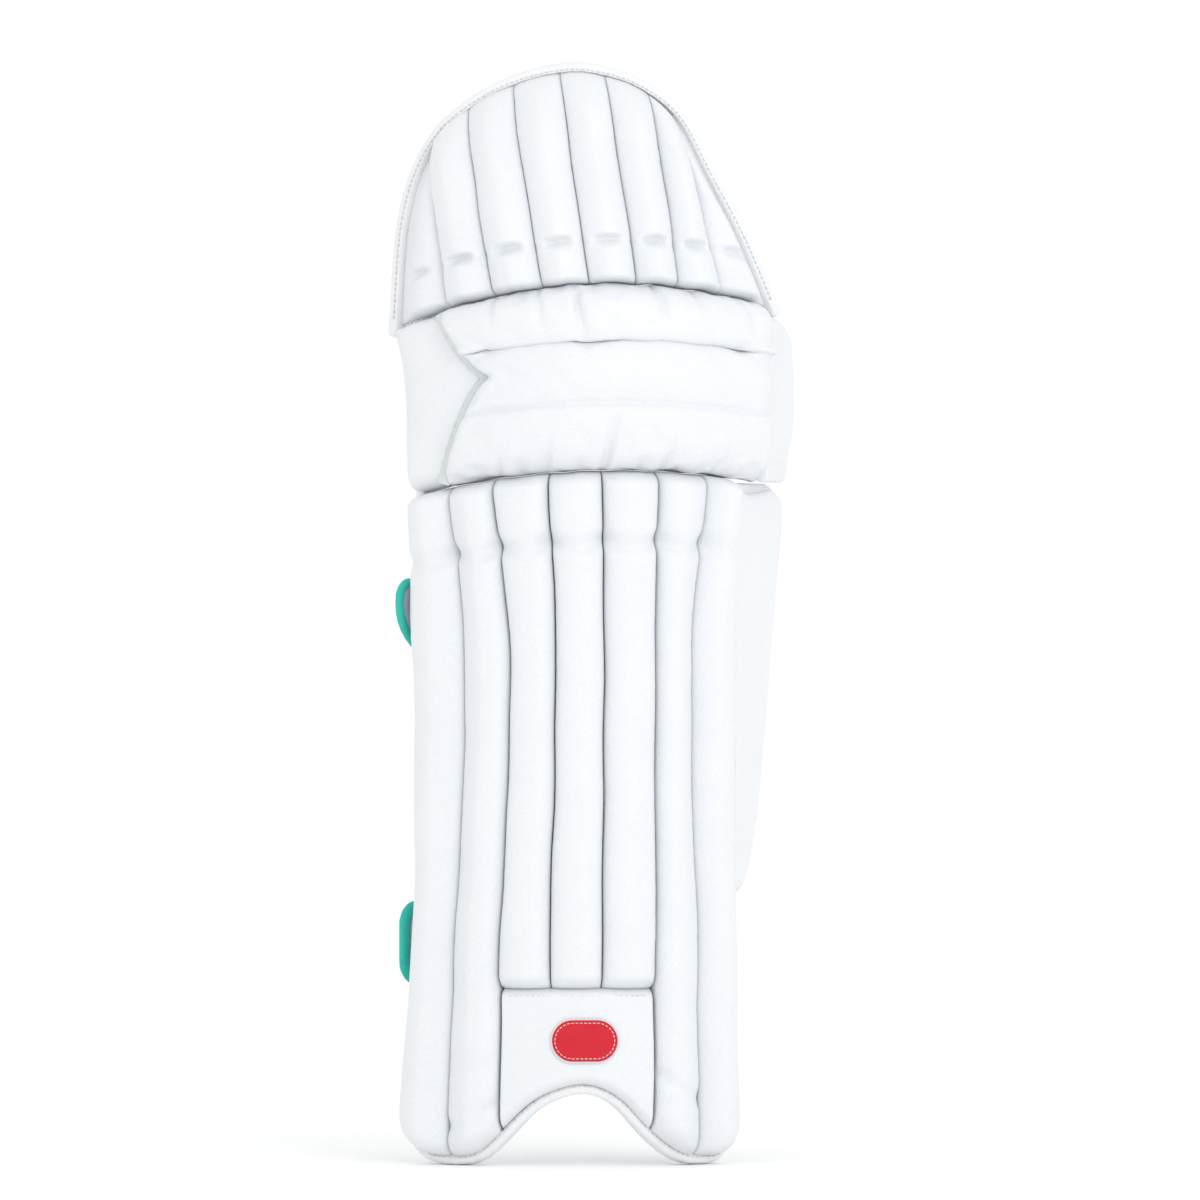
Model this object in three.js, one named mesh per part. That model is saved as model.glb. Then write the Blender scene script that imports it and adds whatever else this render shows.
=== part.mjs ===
// A cricket batting leg pad, standing on its hem, in millimetres.
// +Z is up, the quilted face looks along -Y and the leg goes behind it, at +Y.
// The pad bends round the leg: every piece of the face is laid out by its place seen from the
// front, (x, z), and by its depth in front of the backing, and is then wrapped onto the pad.

import * as THREE from "three";
import { LoftGeometry } from "three/addons/geometries/LoftGeometry.js";

// ---------------------------------------------------------------- driving dimensions

const SHIN_SEAMS = [ // the eight edges of the seven shin bolsters, left to right, at four heights
  { z: 422, x: [-112, -92.5, -63.5, -28, 6, 41, 73, 92] },
  { z: 348, x: [-110.5, -83.5, -54, -24, 7, 39.5, 65, 89.5] },
  { z: 112, x: [-112, -88.5, -58.5, -27, 6, 39.5, 67, 89] },
  { z: 30, x: [-119.5, -92, -59.5, -27, 6, 39.5, 67.5, 90.5] },
];
const HAT_SEAMS = [ // the seven seams of the top hat: x at the foot and at the head, and head height
  { foot: -92, head: -105, top: 617 },
  { foot: -63.5, head: -81, top: 642 },
  { foot: -32, head: -52.5, top: 662 },
  { foot: -2, head: -21, top: 669 },
  { foot: 28.5, head: 9, top: 667 },
  { foot: 55, head: 38.5, top: 654 },
  { foot: 82, head: 57, top: 637 },
];
const DOME = [ // outer edge of the top hat, from its lower left corner over the top
  [-125, 515], [-124.5, 552], [-121.5, 584], [-113, 615], [-96, 643], [-68, 664], [-38, 676],
  [-8, 680], [22, 673.5], [45, 660.5], [60, 644], [76, 613], [97, 573], [117.5, 525],
];
const HEM = [ // outer edge of the foot, from the left side down round both lobes and the arch
  [-118.5, 27], [-114.5, 12], [-101, 1.5], [-85, -1.8], [-69, 2.5], [-53, 17], [-33, 36],
  [-6, 45], [15, 36.5], [30, 20], [45, 7], [57, 0], [69, -2.2], [80, 2], [90.5, 24],
];
const ARCH_BINDING = { from: -46, to: 34 }; // the part of the hem that belongs to the arch
const KNEE_TOP = { z: 542, peak: 15, fall: 0.00126 }; // each seam across the pad droops as a parabola
const ROLL_SEAM_UPPER = { z: 510, peak: 18, fall: 0.0009 };
const ROLL_SEAM_LOWER = { z: 470, peak: 18, fall: 0.001 };
const KNEE_BOTTOM = { z: 428, peak: 18, fall: 0.0008 };
const KNEE_LEFT = [[418, -113.5], [442, -115.5], [470, -117], [500, -120.5], [518, -125]];
const KNEE_RIGHT = 111;
const KNEE_POINT = { x: -65, z: 485, foot: -96, head: -98 }; // the arrow seam of the side panel
const INSTEP_TOP = 110;

const SEAM_LEVEL = 16; // depth at which the seams' front-view places above are measured
const EDGE_LEVEL = 4; // depth at which the outer edges' places are measured
const BOLSTER_DEPTH = 24;
const ROLL_DEPTH = 27;
const INSTEP_DEPTH = 15;
const PANEL_DEPTH = 16;
const SKIN = 1.4;
const GAP = 0.4; // half of the gap between sewn neighbours
const LINING = { back: -6.5, front: -4.1 };
const FOAM = { back: -3.7, front: -0.9 };
const BINDING = { width: 6, front: 5.5, back: -6.5 };

const STRAP_THICK = 3;
const TONGUE_THICK = 4;
const CALF_STRAP = {
  centre: 338, width: 46,
  root: [[77, -3], [87, 18], [95.5, 43]],
  web: [[97.5, 48.5], [94, 60], [76, 72], [30, 79], [-25, 79], [-75, 72], [-99, 60], [-104, 49.5]],
};
const ANKLE_STRAP = {
  centre: 136, width: 50,
  root: [[71, -5], [79, 16], [86, 43]],
  web: [[88, 48.5], [85, 60], [70, 72], [28, 79], [-25, 79], [-75, 72], [-99, 60], [-104, 49.5]],
};
const STRAP_TONGUE = [[-105, 44.5], [-104.6, 28], [-104.6, 8], [-108, -4], [-114, -12], [-119.5, -17]];
const PATCH = { x: -101.8, thick: 1.5, y: 4, length: 32 };

const WING = { x: 80, y: -12, lean: 66, thick: 11 }; // hinge line, angle from +X and thickness
const WING_EDGE = [ // the right wing's outline: distance behind its seam, height
  [0, 418], [56, 416], [64, 405], [59, 375], [48, 327], [36, 270], [27, 228], [14, 190], [0, 168],
];
const KNEE_WING = { x: 101, y: 4, lean: 73, thick: 10 };
const KNEE_WING_EDGE = [
  [0, 425], [16, 429], [32, 435], [43, 452], [45, 475], [42, 497], [30, 515], [12, 522], [0, 523],
];

// ---------------------------------------------------------------- materials

const material = (color, roughness) => new THREE.MeshStandardMaterial({ color, roughness, metalness: 0 });
const facing = material(0xf3f5f7, 0.5);
const tape = material(0xfafafa, 0.45);
const lining = material(0xdfe3e6, 0.9);
const foam = material(0xe6dcb4, 0.95);
const cane = material(0xc9a25f, 0.7);
const mesh = material(0xc3c8d2, 0.9);
const teal = material(0x2bc4ae, 0.6);
const loop = material(0xd5d8dc, 1);
const patchRed = material(0xdf3a4c, 0.6);

const pad = new THREE.Group();

function add(name, geometry, look, place = {}) {
  const part = new THREE.Mesh(geometry, look);
  part.name = name;
  if (place.position) part.position.set(...place.position);
  if (place.turn) part.rotation.set(...place.turn);
  pad.add(part);
  return part;
}

// ---------------------------------------------------------------- the pad's shape

const lerp = THREE.MathUtils.lerp;

// A smooth function through [at, value] knots.
function smooth(knots) {
  const at = knots.map((knot) => knot[0]);
  const curve = new THREE.CubicInterpolant(at, knots.map((knot) => knot[1]), 1);
  return (t) => curve.evaluate(THREE.MathUtils.clamp(t, at[0], at[at.length - 1]))[0];
}

const centreX = smooth([[0, -14.5], [112, -11.6], [348, -10.5], [422, -9], [480, -8], [680, -8]]);
const seamRadius = smooth([[0, 149], [112, 143], [348, 142], [422, 146], [480, 150], [680, 150]]);
const noseY = smooth([
  [0, -56], [60, -52], [120, -50], [400, -50], [480, -57], [540, -53], [610, -42], [680, -27],
]);

// The point at front-view place (x, z), a depth in front of the backing.
function onPad(x, z, depth) {
  const radius = seamRadius(z) - SEAM_LEVEL;
  const angle = Math.asin((x - centreX(z)) / seamRadius(z));
  const reach = radius + depth;
  const x0 = centreX(z);
  return new THREE.Vector3(x0 + reach * Math.sin(angle), noseY(z) + radius - reach * Math.cos(angle), z);
}

// The place of a flat edge that is seen at (x, z) from the front; edges lie lower than the seams.
function edgePlace(x, z) {
  const radius = seamRadius(z);
  return new THREE.Vector2(centreX(z) + ((x - centreX(z)) * radius) / (radius - SEAM_LEVEL + EDGE_LEVEL), z);
}

const droop = (seam, x) => seam.z - seam.fall * (x - seam.peak) ** 2;

// Half of the gap across a joint, which widens towards the back so that the sections can tilt.
function jointGap(x, z) {
  return 1 + 0.16 * Math.max(0, onPad(x, z, 0).y + 20);
}

const shinSeam = SHIN_SEAMS[0].x.map((_, k) => smooth(SHIN_SEAMS.map((row) => [row.z, row.x[k]]).reverse()));

const domeLine = new THREE.SplineCurve(DOME.map((p) => edgePlace(...p))).getPoints(90);
const domePeak = domeLine.reduce((best, p, i) => (p.y > domeLine[best].y ? i : best), 0);

// Height and steepness of a line of places at x.
function lineAt(line, x) {
  const found = line.findIndex((p) => p.x > x);
  const i = THREE.MathUtils.clamp(found < 0 ? line.length : found, 1, line.length - 1);
  const [a, b] = [line[i - 1], line[i]];
  const t = THREE.MathUtils.clamp((x - a.x) / (b.x - a.x), 0, 1);
  return { height: lerp(a.y, b.y, t), slope: Math.abs((b.y - a.y) / (b.x - a.x)) };
}

// The dome's edge moved inwards.
const domeInset = (by) => domeLine.map((p, i) => {
  const before = domeLine[Math.max(i - 1, 0)];
  const after = domeLine[Math.min(i + 1, domeLine.length - 1)];
  const inward = new THREE.Vector2(after.y - before.y, before.x - after.x).setLength(by);
  return new THREE.Vector2(p.x + inward.x, p.y + inward.y);
});
const hatInside = domeInset(BINDING.width + 1.5);

// Where the left (or right) side of the top hat, inside its binding, has height z.
function hatSide(right, z) {
  const side = right ? hatInside.slice(domePeak).reverse() : hatInside.slice(0, domePeak + 1);
  const i = Math.min(Math.max(side.findIndex((p) => p.y > z), 1), side.length - 1);
  const t = THREE.MathUtils.clamp((z - side[i - 1].y) / (side[i].y - side[i - 1].y), 0, 1);
  return lerp(side[i - 1].x, side[i].x, t);
}

// The middle line of the hem's binding; it is flattened where the two lobes stand on the ground.
const hemLine = new THREE.SplineCurve(HEM.map((p) => edgePlace(...p))).getPoints(56);
hemLine.forEach((p) => (p.y = Math.max(p.y, 0) + BINDING.width / 2));

// Height just above the hem's binding at x.
function hemTop(x) {
  const { height, slope } = lineAt(hemLine, x);
  return height + (BINDING.width / 2) * Math.hypot(1, Math.min(slope, 2.6)) + 1.2;
}

// ---------------------------------------------------------------- solids wrapped on the pad

const steps = (count, from = 0, to = 1) =>
  Array.from({ length: count + 1 }, (_, i) => lerp(from, to, i / count));

// A loft over a patch of the pad. at(across, along) is the front-view place, and section(along)
// gives the [across, depth] points round it, over the front first and back along the rear.
function wrap(at, section, rows) {
  const ring = (along) => section(along).map(([across, depth]) => onPad(...at(across, along), depth));
  const rings = rows.map(ring);
  return loft(rings);
}

// A sheet or a flat pillow over the same kind of patch: layer(across, along) gives its depths.
function sheet(at, layer, columns, rows) {
  const rings = columns.map((across) => {
    const point = (along, side) => onPad(...at(across, along), layer(across, along)[side]);
    const front = rows.map((along) => point(along, "front"));
    const back = rows.map((along) => point(along, "back"));
    return [...front, ...back.reverse()];
  });
  return loft(rings);
}

// A closed solid through rings of points, facing outwards whichever way the rings run.
function loft(rings) {
  const turn = new THREE.Vector3();
  rings[0].forEach((p, i) => turn.add(p.clone().cross(rings[0][(i + 1) % rings[0].length])));
  const ahead = rings[1][0].clone().sub(rings[0][0]);
  const facingOut = turn.dot(ahead) > 0;
  const ordered = facingOut ? rings : rings.map((ring) => [...ring].reverse());
  return new LoftGeometry(ordered, { capStart: true, capEnd: true });
}

// Points over a rounded bolster, from one side to the other.
function archPoints(inset, top, count = 7) {
  const squareness = 0.62;
  return steps(count, 0, Math.PI).map((turn) => {
    const side = Math.cos(turn);
    const across = 0.5 - (0.5 - inset) * Math.sign(side) * Math.abs(side) ** squareness;
    return [across, top * Math.max(0, Math.sin(turn)) ** squareness];
  });
}

// An open-backed sewn channel of facing, and the cane rods with their wadding that fill it.
function channelSection(width, top) {
  return [...archPoints(GAP / width, top), ...archPoints((GAP + SKIN) / width, top - SKIN).reverse()];
}

function coreSection(top) {
  const rods = 3;
  const bulge = (i) => Math.abs(Math.sin((Math.PI * i) / 3));
  const bumps = steps(rods * 3, 0.2, 0.8).map((across, i) => [across, top * 0.3 + 3 * bulge(i)]);
  return [...bumps, [0.8, 1], [0.2, 1]];
}

// The depths of a pillow that is low round its sewn edge.
const plumpness = (t) => Math.max(0, 1 - Math.abs(2 * t - 1) ** 5);
const pillow = (back, front) => (across, along) => {
  const rise = Math.sqrt(plumpness(across) * plumpness(along));
  return { back, front: back + (front - back) * lerp(0.45, 1, rise) };
};

// Depth along a bolster: low at both sewn ends, with a dip where it creases near the knee.
function swell(along, crease) {
  const ends = Math.min(1, 0.55 + 8 * Math.min(along, 1 - along));
  return BOLSTER_DEPTH * ends * (1 - 0.2 * Math.exp(-(((along - crease) / 0.02) ** 2)));
}

// ---------------------------------------------------------------- shin

for (let k = 0; k < 7; k++) {
  const overInstep = k >= 2 && k <= 4;
  const at = (across, along) => {
    const below = lerp(shinSeam[k](30), shinSeam[k + 1](30), across);
    const above = lerp(shinSeam[k](422), shinSeam[k + 1](422), across);
    const foot = overInstep ? INSTEP_TOP + 1 : hemTop(below);
    const z = lerp(foot, droop(KNEE_BOTTOM, above) - jointGap(above, 422), along);
    return [lerp(shinSeam[k](z), shinSeam[k + 1](z), across), z];
  };
  const crease = overInstep ? 0.86 : 0.89;
  const rows = [0, 0.04, 0.12, 0.2, 0.3, 0.6, crease - 0.03, crease, crease + 0.03, 0.97, 1];
  const section = (along) => channelSection(30, swell(along, crease));
  const coreRows = [0.07, 0.45, crease - 0.04];
  add(`shin_bolster_cover_${k + 1}`, wrap(at, section, rows), facing);
  add(`shin_bolster_core_${k + 1}`, wrap(at, () => coreSection(BOLSTER_DEPTH), coreRows), cane);
}

const shinSheet = (across, along) => {
  const low = lerp(shinSeam[0](30) + 8, shinSeam[7](30) - 6, across);
  const z = lerp(hemTop(low) + 1, droop(KNEE_BOTTOM, low) - jointGap(low, 422) - 1, along);
  return [lerp(shinSeam[0](z) + 8, shinSeam[7](z) - 6, across), z];
};
const sheetRows = [0, 0.08, 0.16, 0.3, 0.6, 0.85, 1];
add("shin_foam_sheet", sheet(shinSheet, () => FOAM, steps(20), sheetRows), foam);
add("shin_lining", sheet(shinSheet, () => LINING, steps(20), sheetRows), lining);

const instepAt = (across, along) => {
  const x = lerp(shinSeam[2](80) + GAP, shinSeam[5](80) - GAP, across);
  return [x, lerp(hemTop(x), INSTEP_TOP, along)];
};
add("instep_panel", sheet(instepAt, pillow(0, INSTEP_DEPTH), steps(14), steps(6)), facing);

const badgeAt = (across, along) => [lerp(-27, 17, across), lerp(63, 92, along)];
const badgeLayer = () => ({ back: INSTEP_DEPTH + 0.4, front: INSTEP_DEPTH + 1.4 });
add("badge_patch", sheet(badgeAt, badgeLayer, steps(6), [0, 0.5, 1]), patchRed);

// Two soft bolsters inside, one each side of the shin bone.
for (const [side, x] of [["left", -52], ["right", 30]]) {
  const half = 14;
  const at = (across, along) => [lerp(x + half, x - half, across), lerp(395, 80, along)];
  const plump = (along) => Math.min(1, 0.4 + 6 * Math.min(along, 1 - along));
  const depthAt = (rise, along) => LINING.back - 1.4 - 15 * rise * plump(along);
  const section = (along) => archPoints(0, 1, 8).map(([across, rise]) => [across, depthAt(rise, along)]);
  add(`inner_bolster_${side}`, wrap(at, section, [0, 0.05, 0.2, 0.4, 0.65, 0.85, 0.95, 1]), lining);
}

// ---------------------------------------------------------------- bindings

// A taped edge along a line of front-view places; its underside is flat where the line is level.
function binding(line) {
  const half = BINDING.width / 2;
  const round = 1.5;
  const outline = [
    [-half, BINDING.back], [-half, BINDING.front - round], [-half + round, BINDING.front],
    [half - round, BINDING.front], [half, BINDING.front - round], [half, BINDING.back],
  ];
  const rings = line.map((p, i) => {
    const before = line[Math.max(i - 1, 0)];
    const after = line[Math.min(i + 1, line.length - 1)];
    const across = new THREE.Vector2(after.y - before.y, before.x - after.x).normalize();
    return outline.map(([out, depth]) => onPad(p.x - across.x * out, p.y - across.y * out, depth));
  });
  return loft(rings);
}

const between = (from, to) => hemLine.filter((p) => p.x >= from && p.x <= to);
add("hem_binding_left", binding(between(-200, ARCH_BINDING.from - 1)), tape);
add("hem_binding_arch", binding(between(ARCH_BINDING.from + 1, ARCH_BINDING.to - 1)), tape);
add("hem_binding_right", binding(between(ARCH_BINDING.to + 1, 200)), tape);

const domeMiddle = domeInset(BINDING.width / 2).filter((_, i) => i % 3 === 0);
add("top_hat_binding", binding(domeMiddle.slice(1, -1)), tape);

// ---------------------------------------------------------------- knee

// Left end of the knee rolls at a height: the arrow-shaped seam of the side panel.
function arrowSeam(z) {
  const low = droop(KNEE_BOTTOM, KNEE_POINT.foot);
  const high = droop(KNEE_TOP, KNEE_POINT.head);
  const above = z > KNEE_POINT.z;
  const t = above ? (z - KNEE_POINT.z) / (high - KNEE_POINT.z) : (KNEE_POINT.z - z) / (KNEE_POINT.z - low);
  return lerp(KNEE_POINT.x, above ? KNEE_POINT.head : KNEE_POINT.foot, Math.min(t, 1) ** 0.85);
}

const ROLLS = [
  {
    name: "upper",
    top: (x) => droop(KNEE_TOP, x) - jointGap(x, 530),
    bottom: (x) => droop(ROLL_SEAM_UPPER, x) + GAP,
  },
  {
    name: "middle",
    top: (x) => droop(ROLL_SEAM_UPPER, x) - GAP,
    bottom: (x) => droop(ROLL_SEAM_LOWER, x) + GAP,
  },
  {
    name: "lower",
    top: (x) => droop(ROLL_SEAM_LOWER, x) - GAP,
    bottom: (x) => droop(KNEE_BOTTOM, x) + jointGap(x, 425),
  },
];
for (const roll of ROLLS) {
  // across runs from the top of the roll to the bottom, along from its right end to the left one
  const at = (across, along) => {
    const guess = lerp(roll.top(0), roll.bottom(0), across);
    const x = lerp(KNEE_RIGHT, arrowSeam(guess - 4) + 3, along);
    return [x, lerp(roll.top(x), roll.bottom(x), across)];
  };
  const plump = (along) => ROLL_DEPTH * Math.min(1, 0.6 + 7 * Math.min(along, 1 - along));
  const rows = [0, 0.03, 0.07, ...steps(8, 0.15, 0.85), 0.93, 0.97, 1];
  const core = [...archPoints(0.16, ROLL_DEPTH - 6, 6).map(([a, d]) => [a, Math.max(d, 1)])];
  add(`knee_roll_cover_${roll.name}`, wrap(at, (along) => channelSection(36, plump(along)), rows), facing);
  add(`knee_roll_core_${roll.name}`, wrap(at, () => core, steps(8, 0.09, 0.91)), foam);
}

const kneeLeft = smooth(KNEE_LEFT);
const kneePanelAt = (across, along) => {
  const z = lerp(droop(KNEE_BOTTOM, -108) + 3, droop(KNEE_TOP, -112) - 4.5, along);
  return [lerp(edgePlace(kneeLeft(z), z).x, arrowSeam(z) - 1.8, across), z];
};
const kneePanelRows = [0, 0.1, 0.3, 0.45, 0.55, 0.62, 0.7, 0.85, 1];
add("left_knee_panel", sheet(kneePanelAt, pillow(0, PANEL_DEPTH), steps(6), kneePanelRows), facing);

const kneeSheet = (across, along) => {
  const x = lerp(-112, KNEE_RIGHT - 2, across);
  return [x, lerp(droop(KNEE_BOTTOM, x) + jointGap(x, 425), droop(KNEE_TOP, x) - jointGap(x, 530), along)];
};
const softLayer = { back: LINING.back, front: FOAM.front };
add("knee_lining", sheet(kneeSheet, () => softLayer, steps(20), steps(4)), lining);

for (const [name, z] of [["upper", 512], ["lower", 452]]) {
  const half = 15;
  const at = (across, along) => [lerp(62, -78, along), lerp(z - half, z + half, across)];
  const plump = (along) => Math.min(1, 0.4 + 5 * Math.min(along, 1 - along));
  const depthAt = (rise, along) => LINING.back - 1.4 - 13 * rise * plump(along);
  const section = (along) => archPoints(0, 1, 8).map(([across, rise]) => [across, depthAt(rise, along)]);
  const rows = [0, 0.06, 0.15, ...steps(4, 0.3, 0.7), 0.85, 0.94, 1];
  add(`knee_cup_roll_${name}`, wrap(at, section, rows), lining);
}

// ---------------------------------------------------------------- top hat

const hatFoot = (x) => droop(KNEE_TOP, x) + jointGap(x, 530);
const seamLine = (seam) => (along) => {
  const foot = hatFoot(seam.foot);
  return [lerp(seam.foot, seam.head, along), lerp(foot, seam.top, along)];
};
const hatEdge = (right, top) => (along) => {
  const foot = hatFoot(right ? 108 : -116);
  const z = lerp(foot, top, along);
  return [hatSide(right, z), z];
};
const hatLines = [hatEdge(false, 612), ...HAT_SEAMS.map(seamLine), hatEdge(true, 630)];
for (let k = 0; k < 8; k++) {
  const at = (across, along) => {
    const [leftX, leftZ] = hatLines[k](along);
    const [rightX, rightZ] = hatLines[k + 1](along);
    const x = lerp(leftX, rightX, across);
    const onFoot = hatFoot(x) - lerp(leftZ, rightZ, across);
    return [x, lerp(leftZ, rightZ, across) + onFoot * (1 - along) ** 8];
  };
  const side = k === 0 || k === 7;
  const sideRows = [0, 0.03, 0.1, 0.21, 0.24, 0.27, 0.6, 0.8, 0.9];
  const rows = side ? sideRows : [0, 0.03, 0.1, 0.26, 0.29, 0.32, 0.6, 0.95, 1];
  const crease = side ? 0.24 : 0.29;
  const section = (along) => channelSection(28, swell(along, crease));
  add(`top_hat_bolster_cover_${k + 1}`, wrap(at, section, rows), facing);
  const core = () => coreSection(BOLSTER_DEPTH);
  if (!side) add(`top_hat_bolster_core_${k}`, wrap(at, core, [0.34, 0.6, 0.93]), cane);
}

const hatSheet = (across, along) => {
  const x = lerp(hatInside[0].x + 1, hatInside[hatInside.length - 1].x - 7, across);
  const foot = hatFoot(x) + 1;
  return [x, lerp(foot, Math.max(lineAt(hatInside, x).height - 1, foot + 5), along)];
};
add("top_hat_lining", sheet(hatSheet, () => softLayer, steps(22), steps(5)), lining);

// ---------------------------------------------------------------- wings and side panel

// A flat padded panel: an outline of [behind its seam, height] points, standing on its hinge line.
function wingPanel(edge, thick) {
  const outline = new THREE.Shape(edge.map(([behind, z]) => new THREE.Vector2(behind, z)));
  return new THREE.ExtrudeGeometry(outline, { depth: thick, bevelEnabled: false });
}

function addWing(name, wing, edge) {
  const holder = new THREE.Group();
  holder.position.set(wing.x, wing.y, 0);
  holder.rotation.z = THREE.MathUtils.degToRad(wing.lean);
  const part = add(name, wingPanel(edge, wing.thick), facing, { turn: [Math.PI / 2, 0, 0] });
  holder.add(part);
  pad.add(holder);
}
addWing("right_wing", WING, WING_EDGE);
addWing("knee_wing", KNEE_WING, KNEE_WING_EDGE);

const sidePanel = wingPanel([[0, 72], [30, 76], [42, 90], [44, 350], [36, 380], [10, 386], [0, 384]], 6);
add("left_side_panel", sidePanel, lining, { position: [-100, -5, 0], turn: [Math.PI / 2, Math.PI / 2, 0] });

// ---------------------------------------------------------------- straps

// A band of webbing on edge along a line seen from above; tip(t) narrows its end.
function band(line, thick, strap, tip = () => 1) {
  const curve = new THREE.SplineCurve(line.map((p) => new THREE.Vector2(...p)));
  const rings = steps(line.length * 3).map((t) => {
    const middle = curve.getPointAt(t);
    const along = curve.getTangentAt(t);
    const half = (strap.width / 2) * tip(t);
    const corners = [[-1, -1], [1, -1], [1, 1], [-1, 1]];
    return corners.map(([side, up]) => new THREE.Vector3(
      middle.x - (along.y * side * thick) / 2,
      middle.y + (along.x * side * thick) / 2,
      strap.centre + up * half,
    ));
  });
  return loft(rings);
}

const roundTip = (t) => (t < 0.78 ? 1 : 0.3 + 0.7 * Math.sqrt(1 - ((t - 0.78) / 0.23) ** 2));

for (const [name, strap] of [["calf", CALF_STRAP], ["ankle", ANKLE_STRAP]]) {
  add(`${name}_strap_root`, band(strap.root, STRAP_THICK, strap), mesh);
  add(`${name}_strap_web`, band(strap.web, STRAP_THICK, strap), mesh);
  add(`${name}_strap_tongue`, band(STRAP_TONGUE, TONGUE_THICK, strap, roundTip), teal);
  const patch = new THREE.BoxGeometry(PATCH.thick, PATCH.length, strap.width - 8);
  const middle = [PATCH.x + PATCH.thick / 2, PATCH.y + PATCH.length / 2, strap.centre];
  add(`${name}_loop_patch`, patch, loop, { position: middle });
}

export default pad;
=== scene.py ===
"""Looks of a cricket batting leg pad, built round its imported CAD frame.

Lengths are in millimetres until a mesh is made. Every piece of the face is laid out by its place
seen from the front, (x, z), and its depth in front of the backing, and is wrapped onto the pad.
"""

import math

import bpy
import numpy as np
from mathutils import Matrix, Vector


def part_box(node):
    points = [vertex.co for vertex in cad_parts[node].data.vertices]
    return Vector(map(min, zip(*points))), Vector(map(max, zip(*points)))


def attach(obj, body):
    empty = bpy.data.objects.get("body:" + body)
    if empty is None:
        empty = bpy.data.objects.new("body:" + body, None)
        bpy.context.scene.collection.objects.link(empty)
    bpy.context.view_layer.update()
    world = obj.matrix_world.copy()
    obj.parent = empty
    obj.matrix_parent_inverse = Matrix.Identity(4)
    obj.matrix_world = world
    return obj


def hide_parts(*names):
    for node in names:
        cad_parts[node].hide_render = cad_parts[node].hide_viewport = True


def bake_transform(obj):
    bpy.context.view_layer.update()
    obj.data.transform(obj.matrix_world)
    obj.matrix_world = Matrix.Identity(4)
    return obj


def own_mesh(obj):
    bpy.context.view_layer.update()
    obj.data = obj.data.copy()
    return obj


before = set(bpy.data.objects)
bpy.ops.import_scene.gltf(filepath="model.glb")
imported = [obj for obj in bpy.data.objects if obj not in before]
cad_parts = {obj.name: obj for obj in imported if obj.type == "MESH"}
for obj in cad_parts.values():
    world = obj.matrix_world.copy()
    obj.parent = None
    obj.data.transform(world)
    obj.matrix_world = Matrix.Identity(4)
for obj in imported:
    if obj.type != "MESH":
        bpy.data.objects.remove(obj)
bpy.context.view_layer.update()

# ------------------------------------------------------------------ driving dimensions

MM = 0.001
SEAM_LEVEL = 16  # depth at which the seams' places are measured
EDGE_LEVEL = 4  # depth at which the outer edges' places are measured
BACKING = -0.3  # the covers' flat backs
BOLSTER_DEPTH = 23.5
INSTEP_TOP = 109
INSTEP_DEPTH = 14.5
PANEL_DEPTH = 17
LINING_BACK = -6.8
TAPE = {"width": 6, "front": 5.6, "back": -7.2, "thick": 0.9}

SHIN_SEAMS = {  # height: the eight edges of the seven shin bolsters, left to right
    30: (-121, -92, -59.5, -27, 6, 39.5, 67.5, 90.5),
    112: (-113.6, -88.5, -58.5, -27, 6, 39.5, 67, 89),
    348: (-113.2, -83.5, -54, -24, 7, 39.5, 65, 89.5),
    422: (-115.5, -92.5, -63.5, -28, 6, 41, 73, 92),
}
HAT_SEAMS = (  # x at the foot, x at the head, height of the head
    (-92, -105, 617), (-63.5, -81, 642), (-32, -52.5, 662), (-2, -21, 669),
    (28.5, 9, 667), (55, 38.5, 654), (82, 57, 637),
)
DOME = (  # outer edge of the top hat, from its lower left corner over the top
    (-127.5, 510.5), (-126, 530), (-124.5, 556), (-121.5, 584), (-113, 615), (-96, 643), (-68, 664),
    (-38, 676), (-8, 680), (22, 673.5), (45, 660.5), (60, 644), (76, 613), (97, 573), (117.5, 525),
)
HEM = (  # outer edge of the foot, from the left side round both lobes and the arch
    (-118.5, 27), (-114.5, 12), (-101, 1.5), (-85, -1.8), (-69, 2.5), (-53, 17), (-33, 36),
    (-6, 45), (15, 36.5), (30, 20), (45, 7), (57, 0), (69, -2.2), (80, 2), (90.5, 24),
)
KNEE_TOP = {"z": 542, "peak": 15, "fall": 0.00126}  # seams across the pad droop as parabolas
KNEE_BOTTOM = {"z": 428, "peak": 18, "fall": 0.0008}
KNEE_LEFT = ((418, -113.5), (442, -115.5), (470, -117), (500, -120.5), (518, -125))
KNEE_RIGHT = 111
PANEL_EDGE_LEVEL = 10
ARROW_GAP = 2.3  # bare band on each side of the arrow-shaped seam, filled by its piping
KNEE_POINT = {"x": -65, "z": 485, "foot": -96, "head": -98}

STRAP_THICK = 3.2
CALF_STRAP = {
    "centre": 338, "width": 46, "hinge": 96.5, "slant": (26, -0.3), "edging": 5.6, "tip": (-121.7, -19),
    "right": ((73, -8), (87, 18), (95.5, 43), (97.5, 48.5), (94, 60), (76, 72), (30, 79)),
}
ANKLE_STRAP = {
    "centre": 136, "width": 50, "hinge": 87, "slant": (9, 0.5), "edging": 8, "tip": (-119.5, -17),
    "right": ((66, -12), (76.5, 16), (83.5, 43), (85.5, 48.5), (83, 60), (70, 72), (28, 79)),
}
STRAP_BACK = ((-25, 79), (-75, 72), (-99, 60), (-104, 49.5))
STRAP_TONGUE = ((-105, 44.5), (-104.6, 28), (-104.6, 8), (-108, -4), (-114, -12))

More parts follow.
